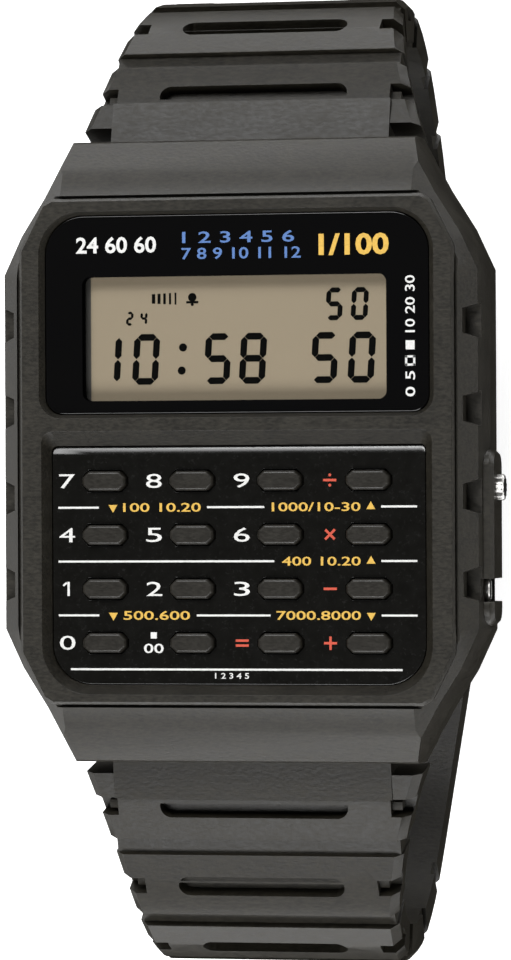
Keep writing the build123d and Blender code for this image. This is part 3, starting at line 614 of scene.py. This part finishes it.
def soften(shape: bmesh.types.BMesh, width: float, crease: float) -> None:
    """Round the crisp edges of a moulded shape.

    Args:
        shape: The shape to round.
        width: The bevel's width, in metres.
        crease: The least angle of an edge that is rounded, in degrees.
    """
    limit = math.radians(crease)
    crisp = [
        edge for edge in shape.edges
        if len(edge.link_faces) == 2 and edge.calc_face_angle(0.0) > limit
    ]
    bmesh.ops.bevel(
        shape, geom=crisp, offset=width, offset_type="OFFSET", segments=ROUNDING_STEPS,
        profile=0.5, affect="EDGES", material=-1, clamp_overlap=True,
    )


def slope(shape: bmesh.types.BMesh, height: float, width: float, drop: float) -> None:
    """Let a flat top fall away along its upper end.

    Args:
        shape: The shape to change.
        height: The height of the flat top, in metres.
        width: The width of the falling strip, in metres.
        drop: How far its outer edge falls, in metres.
    """
    line = max(v.co.y for v in shape.verts) - width
    bmesh.ops.bisect_plane(
        shape, geom=shape.verts[:] + shape.edges[:] + shape.faces[:], dist=MERGE_DISTANCE,
        plane_co=(0.0, line, 0.0), plane_no=(0.0, 1.0, 0.0),
    )
    rim = [v for v in shape.verts if v.co.z > height - MERGE_DISTANCE * 10 and v.co.y > line]
    fall = Matrix.Identity(4)
    fall[2][1] = -drop / width
    fall[2][3] = line * drop / width
    bmesh.ops.transform(shape, matrix=fall, verts=rim)


def piece_from(
    shape: bmesh.types.BMesh, name: str, material: bpy.types.Material
) -> bpy.types.Object:
    """Make a finished piece of a shape.

    Args:
        shape: The piece's shape, already in its place; it is freed.
        name: The piece's name.
        material: Its finish.

    Returns:
        The new object, at the origin.
    """
    mesh = bpy.data.meshes.new(name)
    shape.to_mesh(mesh)
    shape.free()
    mesh.materials.clear()
    mesh.materials.append(material)
    mesh.shade_smooth()
    mesh.set_sharp_from_angle(angle=math.radians(SMOOTH_ANGLE))
    piece = bpy.data.objects.new(name, mesh)
    bpy.context.scene.collection.objects.link(piece)
    facing = piece.modifiers.new("facing", "WEIGHTED_NORMAL")
    facing.keep_sharp = True
    return piece


def settle(piece: bpy.types.Object, body: str, slot: str, *nodes: str) -> bpy.types.Object:
    """Tie a piece to its body, and report it.

    Args:
        piece: The finished piece.
        body: The body that carries it.
        slot: The record's material slot; it is not used.
        nodes: The frame nodes that it stands for.

    Returns:
        The same piece.
    """
    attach(piece, body)
    if nodes:
        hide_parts(*nodes)
    LOG.info("%s rides on %s, %d faces", piece.name, body, len(piece.data.polygons))
    return piece


def dress_node(node: str, material: bpy.types.Material) -> None:
    """Give a frame node that stays a procedural finish.

    Args:
        node: The node's name.
        material: Its finish.
    """
    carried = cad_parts[node]
    carried.data.materials.clear()
    carried.data.materials.append(material)
    LOG.info("%s keeps its shape and takes %s", node, material.name)


def remade(
    node: str,
    body: str,
    slot: str,
    material: bpy.types.Material,
    width: float = 0.0,
    crease: float = PLAIN_CREASE,
) -> bpy.types.Object:
    """Replace a frame node by a merged, softened and smooth copy.

    Args:
        node: The node's name.
        body: The body that carries it.
        slot: The record's material slot.
        material: Its finish.
        width: The width of the rounded edges, in metres.
        crease: The least angle that is rounded, in degrees.

    Returns:
        The new piece.
    """
    shape = node_mesh(node)
    if width:
        soften(shape, width, crease)
    return settle(piece_from(shape, f"{node}_dressed", material), body, slot, node)


@dataclass
class PrintSheet:
    """Thin closed prints that lie on one flat face."""

    floor: float
    thickness: float = 0.00002
    shape: bmesh.types.BMesh = field(default_factory=bmesh.new)

    def _lay(self, flat: bmesh.types.BMesh, place: Matrix) -> None:
        """Move a flat shape to its place and add it to the sheet.

        Args:
            flat: The shape, about the origin; it is freed.
            place: Its place on the sheet.
        """
        bmesh.ops.transform(
            flat, matrix=Matrix.Translation((0, 0, self.floor)) @ place, verts=flat.verts
        )
        loose = bpy.data.meshes.new("print")
        flat.to_mesh(loose)
        flat.free()
        self.shape.from_mesh(loose)
        bpy.data.meshes.remove(loose)

    def bar(self, x: float, y: float, length: float, width: float, point: float = 0.0,
            turn: float = 0.0, slant: float = 0.0) -> None:
        """Print a bar, with its ends pointed by choice.

        Args:
            x: Its middle across the face, in metres.
            y: Its middle up the face, in metres.
            length: Its length, in metres.
            width: Its width, in metres.
            point: How far its ends come to a point, as a share of half its width.
            turn: Its turn from the x axis, in degrees.
            slant: The lean of the whole bar, as a share of its height.
        """
        flat = bmesh.new()
        bmesh.ops.create_cube(flat, size=1.0)
        bmesh.ops.scale(flat, vec=(length, width, self.thickness), verts=flat.verts)
        bmesh.ops.translate(flat, vec=(0, 0, self.thickness / 2), verts=flat.verts)
        if point:
            upright = [
                edge for edge in flat.edges
                if abs(edge.verts[0].co.z - edge.verts[1].co.z) > self.thickness / 2
            ]
            bmesh.ops.bevel(
                flat, geom=upright, offset=width / 2 * point, segments=1, profile=0.5,
                affect="EDGES", material=-1,
            )
        lean = Matrix(((1, slant, 0, 0), (0, 1, 0, 0), (0, 0, 1, 0), (0, 0, 0, 1)))
        turned = Matrix.Rotation(math.radians(turn), 4, "Z")
        self._lay(flat, Matrix.Translation((x, y, 0)) @ lean @ turned)

    def dot(self, x: float, y: float, radius: float, sides: int, turn: float = 0.0) -> None:
        """Print a disc, or a small triangle or square of few sides.

        Args:
            x: Its middle across the face, in metres.
            y: Its middle up the face, in metres.
            radius: Its radius, in metres.
            sides: The number of its sides.
            turn: Its turn, in degrees.
        """
        flat = bmesh.new()
        bmesh.ops.create_cone(
            flat, cap_ends=True, segments=sides, radius1=radius, radius2=radius,
            depth=self.thickness,
        )
        bmesh.ops.translate(flat, vec=(0, 0, self.thickness / 2), verts=flat.verts)
        turned = Matrix.Rotation(math.radians(turn), 4, "Z")
        self._lay(flat, Matrix.Translation((x, y, 0)) @ turned)

    def figures(self, text: str, x: float, y: float, height: float,
                length: float, turn: float = 0.0, weight: float = 0.012) -> None:
        """Print plain numbers.

        Args:
            text: The numbers.
            x: Their middle across the face, in metres.
            y: Their middle up the face, in metres.
            height: The height of a figure, in metres.
            length: The length of the line, in metres.
            turn: The line's turn, in degrees.
            weight: How much the strokes grow, as a share of the writing's size.
        """
        curve = bpy.data.curves.new("figures", "FONT")
        curve.body = text
        curve.resolution_u = 3
        curve.size = 1.0
        curve.offset = weight
        writer = bpy.data.objects.new("figures", curve)
        bpy.context.scene.collection.objects.link(writer)
        bpy.context.view_layer.update()
        mesh = bpy.data.meshes.new_from_object(
            writer.evaluated_get(bpy.context.evaluated_depsgraph_get())
        )
        bpy.data.objects.remove(writer)
        bpy.data.curves.remove(curve)
        flat = bmesh.new()
        flat.from_mesh(mesh)
        bpy.data.meshes.remove(mesh)
        bmesh.ops.remove_doubles(flat, verts=flat.verts, dist=1e-5)
        low = Vector(min(v.co[i] for v in flat.verts) for i in range(3))
        high = Vector(max(v.co[i] for v in flat.verts) for i in range(3))
        tall = height / (high.y - low.y)
        wide = length / (high.x - low.x)
        bmesh.ops.translate(flat, vec=-(low + high) / 2, verts=flat.verts)
        bmesh.ops.scale(flat, vec=(wide, tall, 1.0), verts=flat.verts)
        walls = bmesh.ops.extrude_face_region(flat, geom=flat.faces[:])
        raised = [item for item in walls["geom"] if isinstance(item, bmesh.types.BMVert)]
        bmesh.ops.translate(flat, vec=(0, 0, self.thickness), verts=raised)
        bmesh.ops.recalc_face_normals(flat, faces=flat.faces)
        turned = Matrix.Rotation(math.radians(turn), 4, "Z")
        self._lay(flat, Matrix.Translation((x, y, 0)) @ turned)

    def piece(
        self, name: str, body: str, slot: str, material: bpy.types.Material
    ) -> bpy.types.Object:
        """Make the sheet one piece.

        Args:
            name: The piece's name.
            body: The body that carries it.
            slot: The record's material slot.
            material: Its ink.

        Returns:
            The finished piece.
        """
        return settle(piece_from(self.shape, name, material), body, slot)


@dataclass(frozen=True)
class Writing:
    """One line of plain numbers, with its place and sizes in millimetres."""

    text: str
    x: float
    y: float
    height: float
    length: float
    turn: float = 0.0
    weight: float = 0.012

    def lay(self, sheet: PrintSheet) -> None:
        """Print the line on a sheet."""
        sheet.figures(
            self.text, self.x * MM, self.y * MM, self.height * MM, self.length * MM,
            turn=self.turn, weight=self.weight,
        )


class Segment(Enum):
    """Bars of a seven-bar figure: middle across and up in figure sizes, and turn."""

    TOP = (0.0, 0.5, 0.0)
    MIDDLE = (0.0, 0.0, 0.0)
    BOTTOM = (0.0, -0.5, 0.0)
    HIGH_LEFT = (-0.5, 0.25, 90.0)
    HIGH_RIGHT = (0.5, 0.25, 90.0)
    LOW_LEFT = (-0.5, -0.25, 90.0)
    LOW_RIGHT = (0.5, -0.25, 90.0)


LIT_SEGMENTS: dict[str, tuple[Segment, ...]] = {
    "0": (
        Segment.TOP, Segment.BOTTOM, Segment.HIGH_LEFT, Segment.HIGH_RIGHT, Segment.LOW_LEFT,
        Segment.LOW_RIGHT,
    ),
    "1": (Segment.HIGH_RIGHT, Segment.LOW_RIGHT),
    "2": (Segment.TOP, Segment.HIGH_RIGHT, Segment.MIDDLE, Segment.LOW_LEFT, Segment.BOTTOM),
    "4": (Segment.HIGH_LEFT, Segment.HIGH_RIGHT, Segment.MIDDLE, Segment.LOW_RIGHT),
    "5": (Segment.TOP, Segment.HIGH_LEFT, Segment.MIDDLE, Segment.LOW_RIGHT, Segment.BOTTOM),
    "8": tuple(Segment),
}


@dataclass
class Clockface:
    """The lit figures of the display cell."""

    floor: float
    line_y: float = 6.37 * MM
    height: float = 3.5 * MM
    figure_width: float = 1.84 * MM
    stroke: float = 0.46 * MM
    slant: float = 0.06
    length_share: float = 0.96
    point_share: float = 0.96
    colon_share: float = 0.62
    figures: tuple[tuple[str, float], ...] = (
        ("1", -9.3), ("0", -6.6), ("5", -1.52), ("8", 0.98), ("5", 6.02), ("0", 8.62),
    )
    colon_x: float = -4.02 * MM
    colon_rise: float = 0.8 * MM
    small_y: float = 10.05 * MM
    small_height: float = 2.25 * MM
    small_figures: tuple[tuple[str, float], ...] = (("5", 6.72), ("0", 8.5))
    small_weight: float = 1.15
    tiny_y: float = 9.2 * MM
    tiny_figures: tuple[tuple[str, float], ...] = (("2", -7.75), ("4", -6.75))
    tiny_height: float = 0.95 * MM
    tiny_weight: float = 1.35
    icon_y: float = 10.55 * MM
    tick_count: int = 5
    first_tick_x: float = -6.05 * MM
    tick_pitch: float = 0.39 * MM
    tick_height: float = 0.66 * MM
    tick_growth: float = 0.04 * MM
    tick_width: float = 0.24 * MM
    tick_thinning: float = 0.03 * MM
    bell_x: float = -3.3 * MM
    bell_rise: float = 0.08 * MM
    bell_radius: float = 0.3 * MM
    brim_drop: float = 0.26 * MM
    brim_length: float = 0.86 * MM
    brim_width: float = 0.16 * MM
    clapper_drop: float = 0.42 * MM
    clapper_radius: float = 0.11 * MM

    def _figure(
        self, sheet: PrintSheet, digit: str, x: float, y: float, height: float,
        weight: float = 1.0,
    ) -> None:
        """Light one figure.

        Args:
            sheet: The sheet that takes the bars.
            digit: The figure.
            x: Its middle across, in metres.
            y: Its middle up, in metres.
            height: Its height, in metres.
            weight: How much its bars are thicker than in scale.
        """
        size = height / self.height
        stroke = self.stroke * size * weight
        width = self.figure_width * size
        reach = (width - stroke, height - stroke)
        for segment in LIT_SEGMENTS[digit]:
            across, up, turn = segment.value
            length = reach[1] / 2 if turn else reach[0]
            rise = up * reach[1]
            sheet.bar(
                x + across * reach[0] + rise * self.slant, y + rise,
                length * self.length_share, stroke, point=self.point_share, turn=turn,
                slant=self.slant,
            )

    def build(self, material: bpy.types.Material) -> None:
        """Light every figure and mark.

        Args:
            material: The dark crystal.
        """
        sheet = PrintSheet(self.floor)
        for digit, x in self.figures:
            self._figure(sheet, digit, x * MM, self.line_y, self.height)
        for rise in (self.colon_rise, -self.colon_rise):
            x = self.colon_x + rise * self.slant
            sheet.dot(x, self.line_y + rise, self.stroke * self.colon_share, 12)
        for digit, x in self.small_figures:
            self._figure(
                sheet, digit, x * MM, self.small_y, self.small_height, self.small_weight
            )
        for digit, x in self.tiny_figures:
            self._figure(sheet, digit, x * MM, self.tiny_y, self.tiny_height, self.tiny_weight)
        for number in range(self.tick_count):
            sheet.bar(
                self.first_tick_x + number * self.tick_pitch, self.icon_y,
                self.tick_height + number * self.tick_growth,
                self.tick_width - number * self.tick_thinning, turn=90.0,
            )
        sheet.dot(self.bell_x, self.icon_y + self.bell_rise, self.bell_radius, 14)
        sheet.bar(self.bell_x, self.icon_y - self.brim_drop, self.brim_length, self.brim_width)
        sheet.dot(self.bell_x, self.icon_y - self.clapper_drop, self.clapper_radius, 8)
        sheet.piece("display_figures", "case", "display", material)


@dataclass
class CaseShell:
    """Moulded case with its hoods, notches, recesses and guard."""

    edge: float = 0.13 * MM
    crease: float = 28.0

    def build(self, resin: bpy.types.Material) -> None:
        """Dress the case.

        Args:
            resin: The moulded resin.
        """
        remade("case_body", "case", "case_resin", resin, self.edge, self.crease)


@dataclass
class DisplayWindow:
    """Lens, liquid crystal cell and the prints under the lens."""

    view_low: tuple[float, float] = (-10.9 * MM, 3.47 * MM)
    view_high: tuple[float, float] = (10.56 * MM, 12.1 * MM)
    # How far the tan field sits right of the lens opening; the dark rim it leaves bare paints a
    # shadow band along the opening's left edge.
    rim_shadow_width: float = 0.35 * MM
    lens_edge: float = 0.1 * MM
    print_lift: float = 0.004 * MM
    white_lines: tuple[Writing, ...] = (
        Writing("24 60 60", -8.45, 14.27, 1.15, 5.7, weight=0.022),
        Writing("10 20 30", 12.2, 9.96, 0.68, 3.9, turn=90.0),
        Writing("0 5", 12.2, 4.5, 0.68, 1.75, turn=90.0),
    )
    blue_lines: tuple[Writing, ...] = (
        Writing("1 2 3 4 5 6", 0.2, 14.72, 0.8, 7.9),
        Writing("7 8 9 10 11 12", 0.4, 13.6, 0.8, 8.4),
    )
    yellow_lines: tuple[Writing, ...] = (
        Writing("1/100", 8.3, 14.1, 1.5, 4.9, weight=0.03),
    )
    mark_x: float = 12.2 * MM
    full_mark_y: float = 7.15 * MM
    full_mark_radius: float = 0.44 * MM
    open_mark_y: float = 6.08 * MM
    open_mark_reach: float = 0.28 * MM
    open_mark_length: float = 0.7 * MM
    open_mark_stroke: float = 0.15 * MM

    def build(self) -> None:
        """Build the window."""
        glass = WindowGlass("lens_glass", self.view_low, self.view_high).make()
        remade("display_lens", "case", "lens", glass, self.lens_edge, SHARP_CREASE)
        # Shifted field: the dark rim shows only at the left, as a painted shadow band.
        cell_low = (self.view_low[0] + self.rim_shadow_width, self.view_low[1] - self.rim_shadow_width)
        cell_high = (self.view_high[0] + self.rim_shadow_width, self.view_high[1] + self.rim_shadow_width)
        cell = DisplayCell("display_cell", cell_low, cell_high).make()
        remade("lcd_glass", "case", "display", cell)
        crystal = Ink("lit_crystal", Tone.CRYSTAL_DARK, 0.35, 0.97, 0.08).make()
        Clockface(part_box("lcd_glass")[1].z).build(crystal)
        self._print()

    def _marks(self, sheet: PrintSheet) -> None:
        """Print the full and the open square beside the upright numbers.

        Args:
            sheet: The sheet that takes them.
        """
        sheet.dot(self.mark_x, self.full_mark_y, self.full_mark_radius, 4, 45.0)
        size = (self.open_mark_length, self.open_mark_stroke)
        for side in (1, -1):
            away = side * self.open_mark_reach
            sheet.bar(self.mark_x, self.open_mark_y + away, *size)
            sheet.bar(self.mark_x + away, self.open_mark_y, *size, turn=90.0)

    def _print(self) -> None:
        """Lay the white, blue and yellow prints on the lens."""
        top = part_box("display_lens")[1].z + self.print_lift
        inks = (
            ("white", self.white_lines, Ink("ink_white_lens", Tone.INK_WHITE)),
            ("blue", self.blue_lines, Ink("ink_blue", Tone.INK_BLUE)),
            ("yellow", self.yellow_lines, Ink("ink_yellow_lens", Tone.INK_YELLOW)),
        )
        for colour, lines, ink in inks:
            sheet = PrintSheet(top)
            for line in lines:
                line.lay(sheet)
            if colour == "white":
                self._marks(sheet)
            sheet.piece(f"lens_print_{colour}", "case", "lens", ink.make())


SIGN_WORDS = {
    "/": "divide", "x": "times", "-": "minus", ".": "point", "=": "equals", "+": "plus",
}


@dataclass
class Keypad:
    """Panel, its printed legends and the sixteen keys."""

    first_key: tuple[float, float] = (-9.4 * MM, -2.05 * MM)
    pitch: tuple[float, float] = (6.2 * MM, 3.73 * MM)
    legend_shift: float = -2.72 * MM
    legend_height: float = 0.98 * MM
    legend_width: float = 0.92 * MM
    digit_width: float = 1.12 * MM
    stroke: float = 0.17 * MM
    line_width: float = 0.14 * MM
    line_drop: float = 1.83 * MM
    label_height: float = 0.62 * MM
    key_edge: float = 0.07 * MM
    panel_edge: float = 0.06 * MM
    top_slope: float = 0.6 * MM
    top_drop: float = 0.24 * MM
    dot_rise_share: float = 0.38
    dot_share: float = 0.62
    cross_share: float = 1.05
    equals_share: float = 0.95
    flag_share: float = 1.9
    flag_weight_share: float = 0.8
    flag_turn: float = 40.0
    rows: tuple[str, ...] = ("789/", "456x", "123-", "0.=+")
    white_lines: tuple = (
        ((-12.75, -9.85), (-2.16, 1.87), (10.06, 12.56)),
        ((-12.75, 2.56), (10.06, 12.56)),
        ((-12.75, -9.85), (-2.92, 2.28), (10.06, 12.56)),
        ((-11.9, 11.5),),
    )
    labels: tuple = (
        ((-9.2, -2.6, "100 10.20", -1, 180.0), (2.4, 9.7, "1000/10-30", 1, 0.0)),
        ((3.1, 9.7, "400 10.20", 1, 0.0),),
        ((-9.2, -3.4, "500.600", -1, 180.0), (2.7, 9.7, "7000.8000", 1, 180.0)),
        (),
    )
    mark_radius: float = 0.36 * MM
    label_room_share: float = 3.0
    small_mark: tuple[float, float] = (-5.98 * MM, -12.72 * MM)
    small_mark_share: float = 0.85
    small_lines: tuple[Writing, ...] = (
        Writing("00", -5.98, -13.62, 0.66, 1.4),
        Writing("1 2 3 4 5", -0.45, -15.5, 0.4, 2.4),
    )

    def _key_place(self, column: int, row: int) -> tuple[float, float]:
        """Return the middle of one key."""
        return (
            self.first_key[0] + column * self.pitch[0],
            self.first_key[1] - row * self.pitch[1],
        )

    def _operator(self, sheet: PrintSheet, sign: str, x: float, y: float) -> None:
        """Print one sign of the sums.

        Args:
            sheet: The sheet that takes it.
            sign: One of / x - + =.
            x: Its middle across, in metres.
            y: Its middle up, in metres.
        """
        long = self.legend_width
        if sign in "/-+":
            sheet.bar(x, y, long, self.stroke)
        if sign == "/":
            for rise in (1, -1):
                away = rise * long * self.dot_rise_share
                sheet.dot(x, y + away, self.stroke * self.dot_share, 10)
        if sign == "x":
            sheet.bar(x, y, long * self.cross_share, self.stroke, turn=45.0)
        if sign in "+x":
            turn = 90.0 if sign == "+" else 135.0
            lean = math.radians(turn)
            for side in (1, -1):
                away = side * (long + self.stroke) / 4
                across, up = away * math.cos(lean), away * math.sin(lean)
                sheet.bar(x + across, y + up, (long - self.stroke) / 2, self.stroke, turn=turn)
        if sign == "=":
            for rise in (1, -1):
                sheet.bar(x, y + rise * self.stroke, long, self.stroke * self.equals_share)

    def _figure_one(self, sheet: PrintSheet, x: float, y: float) -> None:
        """Print a 1 of two bars, its stem and its flag.

        Args:
            sheet: The sheet that takes it.
            x: Its middle across, in metres.
            y: Its middle up, in metres.
        """
        sheet.bar(x + self.stroke / 2, y, self.legend_height, self.stroke, turn=90.0)
        sheet.bar(
            x - self.stroke, y + self.legend_height / 3, self.stroke * self.flag_share,
            self.stroke * self.flag_weight_share, turn=self.flag_turn,
        )

    def _print(self) -> None:
        """Print the legends, the lines and the labels between them."""
        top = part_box("keypad_panel")[1].z
        white, orange, yellow = PrintSheet(top), PrintSheet(top), PrintSheet(top)
        for row, signs in enumerate(self.rows):
            for column, sign in enumerate(signs):
                key_x, y = self._key_place(column, row)
                x = key_x + self.legend_shift
                if sign == "1":
                    self._figure_one(white, x, y)
                elif sign.isdigit():
                    white.figures(sign, x, y, self.legend_height, self.digit_width, weight=0.0)
                elif sign != ".":
                    self._operator(orange, sign, x, y)
            line_y = self.first_key[1] - row * self.pitch[1] - self.line_drop
            for start, end in self.white_lines[row]:
                white.bar((start + end) / 2 * MM, line_y, (end - start) * MM, self.line_width)
            for start, end, text, side, turn in self.labels[row]:
                room = self.label_room_share * self.mark_radius
                length = (end - start) * MM - room
                middle = (start + end) / 2 * MM - side * room / 2
                yellow.figures(text, middle, line_y, self.label_height, length)
                mark_x = (end if side > 0 else start) * MM
                yellow.dot(mark_x - side * self.mark_radius, line_y, self.mark_radius, 3, turn)
        white.dot(*self.small_mark, self.mark_radius * self.small_mark_share, 4, 45.0)
        for line in self.small_lines:
            line.lay(white)
        for colour, sheet, tone in (
            ("white", white, Tone.INK_WHITE), ("orange", orange, Tone.INK_ORANGE),
            ("yellow", yellow, Tone.INK_YELLOW),
        ):
            ink = Ink(f"ink_{colour}", tone).make()
            sheet.piece(f"panel_print_{colour}", "case", "panel", ink)

    def build(self) -> None:
        """Build the keypad."""
        plate = BlackPlate("keypad_plate").make()
        panel = node_mesh("keypad_panel")
        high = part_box("keypad_panel")[1]
        slope(panel, high.z, self.top_slope, self.top_drop)
        soften(panel, self.panel_edge, SHARP_CREASE)
        settle(piece_from(panel, "keypad_panel_dressed", plate), "case", "panel", "keypad_panel")
        cap = MouldedResin(
            "key_plastic", Tone.KEY_GREY, Tone.KEY_WORN, grain=0.00012, cloud=0.0014,
            depth=0.000006, roughness=0.36,
        ).make()
        for sign in "".join(self.rows):
            node = f"key_{SIGN_WORDS.get(sign, sign)}"
            remade(node, node, "keys", cap, self.key_edge)
        self._print()


@dataclass
class SideButtons:
    """The fluted and the recessed button with their seals, clips and springs."""

    edge: float = 0.05 * MM

    def build(self, rubber: bpy.types.Material, wire: bpy.types.Material) -> None:
        """Build both buttons.

        Args:
            rubber: The seals' rubber.
            wire: The metal of springs and clips.
        """
        turned = Metal("turned_steel", stretch=(1.0, 0.05, 0.05), roughness=0.24).make()
        for name in ("mode", "adjust"):
            body = f"{name}_pusher"
            remade(f"{name}_button", body, "steel", turned, self.edge, SHARP_CREASE)
            dress_node(f"{name}_seal", rubber)
            dress_node(f"{name}_clip", wire)
            dress_node(f"{name}_spring", wire)


@dataclass
class Strap:
    """Both resin strap halves with the buckle, its tongue and the free loop."""

    edge: float = 0.16 * MM
    buckle_edge: float = 0.1 * MM

    def build(self, resin: bpy.types.Material, buckle_resin: bpy.types.Material) -> None:
        """Build the strap.

        Args:
            resin: The soft strap resin.
            buckle_resin: The harder resin of the buckle.
        """
        remade("upper_strap", "upper_band", "strap_resin", resin, self.edge)
        remade("lower_strap", "lower_band", "strap_resin", resin, self.edge)
        remade("strap_keeper", "keeper", "strap_resin", resin, self.buckle_edge)
        remade("buckle_frame", "buckle", "case_resin", buckle_resin, self.buckle_edge)
        remade("buckle_tongue", "tongue", "case_resin", buckle_resin, self.buckle_edge)


@dataclass
class Module:
    """The movement, its cell and the metal back."""

    back_edge: float = 0.08 * MM

    def build(self, rubber: bpy.types.Material, wire: bpy.types.Material) -> None:
        """Dress every inner part and the back.

        Args:
            rubber: The rubber of mat, strips and gasket.
            wire: The metal of pins, clips and springs.
        """
        brushed = Metal("brushed_steel", roughness=0.3).make()
        foil = Metal(
            "reflector_foil", line=0.0002, stretch=(1.0, 1.0, 1.0), roughness=0.35
        ).make()
        brass = Metal(
            "sounder_brass", Tone.BRASS_BRIGHT, Tone.BRASS_STAINED, line=0.0001,
            stretch=(1.0, 1.0, 1.0), roughness=0.3,
        ).make()
        housing = MouldedResin(
            "housing_plastic", Tone.HOUSING_BLACK, Tone.HOUSING_GREY, roughness=0.55
        ).make()
        board = PrintedBoard("board_lacquer").make()
        remade("case_back", "case", "steel", brushed, self.back_edge, SHARP_CREASE)
        finishes = {
            "case_back_screws": wire, "case_gasket": rubber, "key_mat": rubber,
            "contact_strips": rubber, "lcd_reflector": foil, "circuit_board": board,
            "clock_chip": housing, "quartz_can": wire, "module_frame": housing,
            "battery": brushed, "battery_clip": wire, "buzzer": brass, "buzzer_spring": wire,
            "upper_spring_bar": wire, "lower_spring_bar": wire, "buckle_bar": wire,
        }
        for node, material in finishes.items():
            dress_node(node, material)


@dataclass
class Studio:
    """Camera, floor, soft lights and the room that the gloss reflects."""

    camera_place: Point = (0.07669, -0.00261, 0.35)
    camera_turn: Point = (0.0006, 0.2167, -0.005)
    focal_pixels: float = 5100.0
    frame_pixels: float = 960.0
    sensor: float = 36.0
    floor_size: float = 3.0
    floor_gap: float = 0.02 * MM
    room_strength: float = 9.0
    room_stops: tuple = (
        (0.0, 0.0), (0.3, 0.02), (0.37, 1.0), (0.49, 1.0), (0.51, 0.08), (0.62, 0.06),
        (0.75, 0.025), (0.9, 0.008), (1.0, 0.006),
    )
    side_share: float = 0.3
    lights: tuple = (
        ("upper_light", (-0.12, 0.37, 0.44), 0.34, 2.0),
        ("lower_light", (-0.06, -0.37, 0.44), 0.34, 2.5),
        ("bar_light", (-0.08, 0.37, 0.44), 0.1, 0.5),
    )

    def build(self) -> None:
        """Set the studio up."""
        self._camera()
        self._floor()
        self._room()
        self._lights()

    def _camera(self) -> None:
        """Place the long camera above the watch's right side."""
        lens = bpy.data.cameras.new("photo_camera")
        lens.sensor_width = self.sensor
        lens.lens = self.focal_pixels * self.sensor / self.frame_pixels
        lens.clip_start = 0.01
        lens.clip_end = 10.0
        camera = bpy.data.objects.new("photo_camera", lens)
        camera.location = self.camera_place
        camera.rotation_euler = Euler(self.camera_turn, "XYZ")
        bpy.context.scene.collection.objects.link(camera)
        bpy.context.scene.camera = camera

    def _floor(self) -> None:
        """Lay the paper under the strap; gloss does not mirror it."""
        sheet = bmesh.new()
        bmesh.ops.create_grid(sheet, x_segments=1, y_segments=1, size=self.floor_size / 2)
        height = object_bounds()[0][2] - self.floor_gap
        bmesh.ops.translate(sheet, vec=(0, 0, height), verts=sheet.verts)
        paper = piece_from(sheet, "studio_floor", StudioPaper("studio_paper").make())
        paper.visible_glossy = False
        paper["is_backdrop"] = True

    def _room(self) -> None:
        """Light the room: bright round the horizon, dark overhead, dimmer at the sides."""
        world = bpy.data.worlds.new("studio_room")
        recipe = Recipe(world, "Generated")
        rise = recipe.ramp(recipe.axis("Z") * 0.5 + 0.5, *self.room_stops)
        ends = recipe.axis("Y").distance() * (1.0 - self.side_share) + self.side_share
        light = recipe.node(
            "ShaderNodeBackground", inputs={"Strength": rise * ends * self.room_strength}
        )
        out = world.node_tree.nodes.new("ShaderNodeOutputWorld")
        world.node_tree.links.new(light.socket, out.inputs["Surface"])
        bpy.context.scene.world = world

    def _lights(self) -> None:
        """Hang the soft lights."""
        scene = bpy.context.scene
        scene.view_settings.view_transform = "Standard"
        for name, place, size, power in self.lights:
            lamp = bpy.data.lights.new(name, "AREA")
            lamp.shape = "DISK"
            lamp.size = size
            lamp.energy = power
            hung = bpy.data.objects.new(name, lamp)
            hung.location = place
            hung.rotation_euler = (-Vector(place)).to_track_quat("-Z", "Y").to_euler()
            scene.collection.objects.link(hung)


def main() -> None:
    """Build the watch's sub-assemblies in order."""
    logging.basicConfig(level=logging.INFO, format="%(name)s: %(message)s")
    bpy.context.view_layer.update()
    resin = MouldedResin("case_resin_satin").make()
    strap_resin = MouldedResin(
        "strap_resin_soft", grain=0.0002, cloud=0.003, depth=0.000018, roughness=0.42, gloss=0.32
    ).make()
    rubber = SoftRubber("seal_rubber").make()
    wire = Metal("drawn_steel", stretch=(1.0, 1.0, 1.0), roughness=0.26).make()
    CaseShell().build(resin)
    DisplayWindow().build()
    Keypad().build()
    SideButtons().build(rubber, wire)
    Strap().build(strap_resin, resin)
    Module().build(rubber, wire)
    Studio().build()


if __name__ == "__main__":
    main()
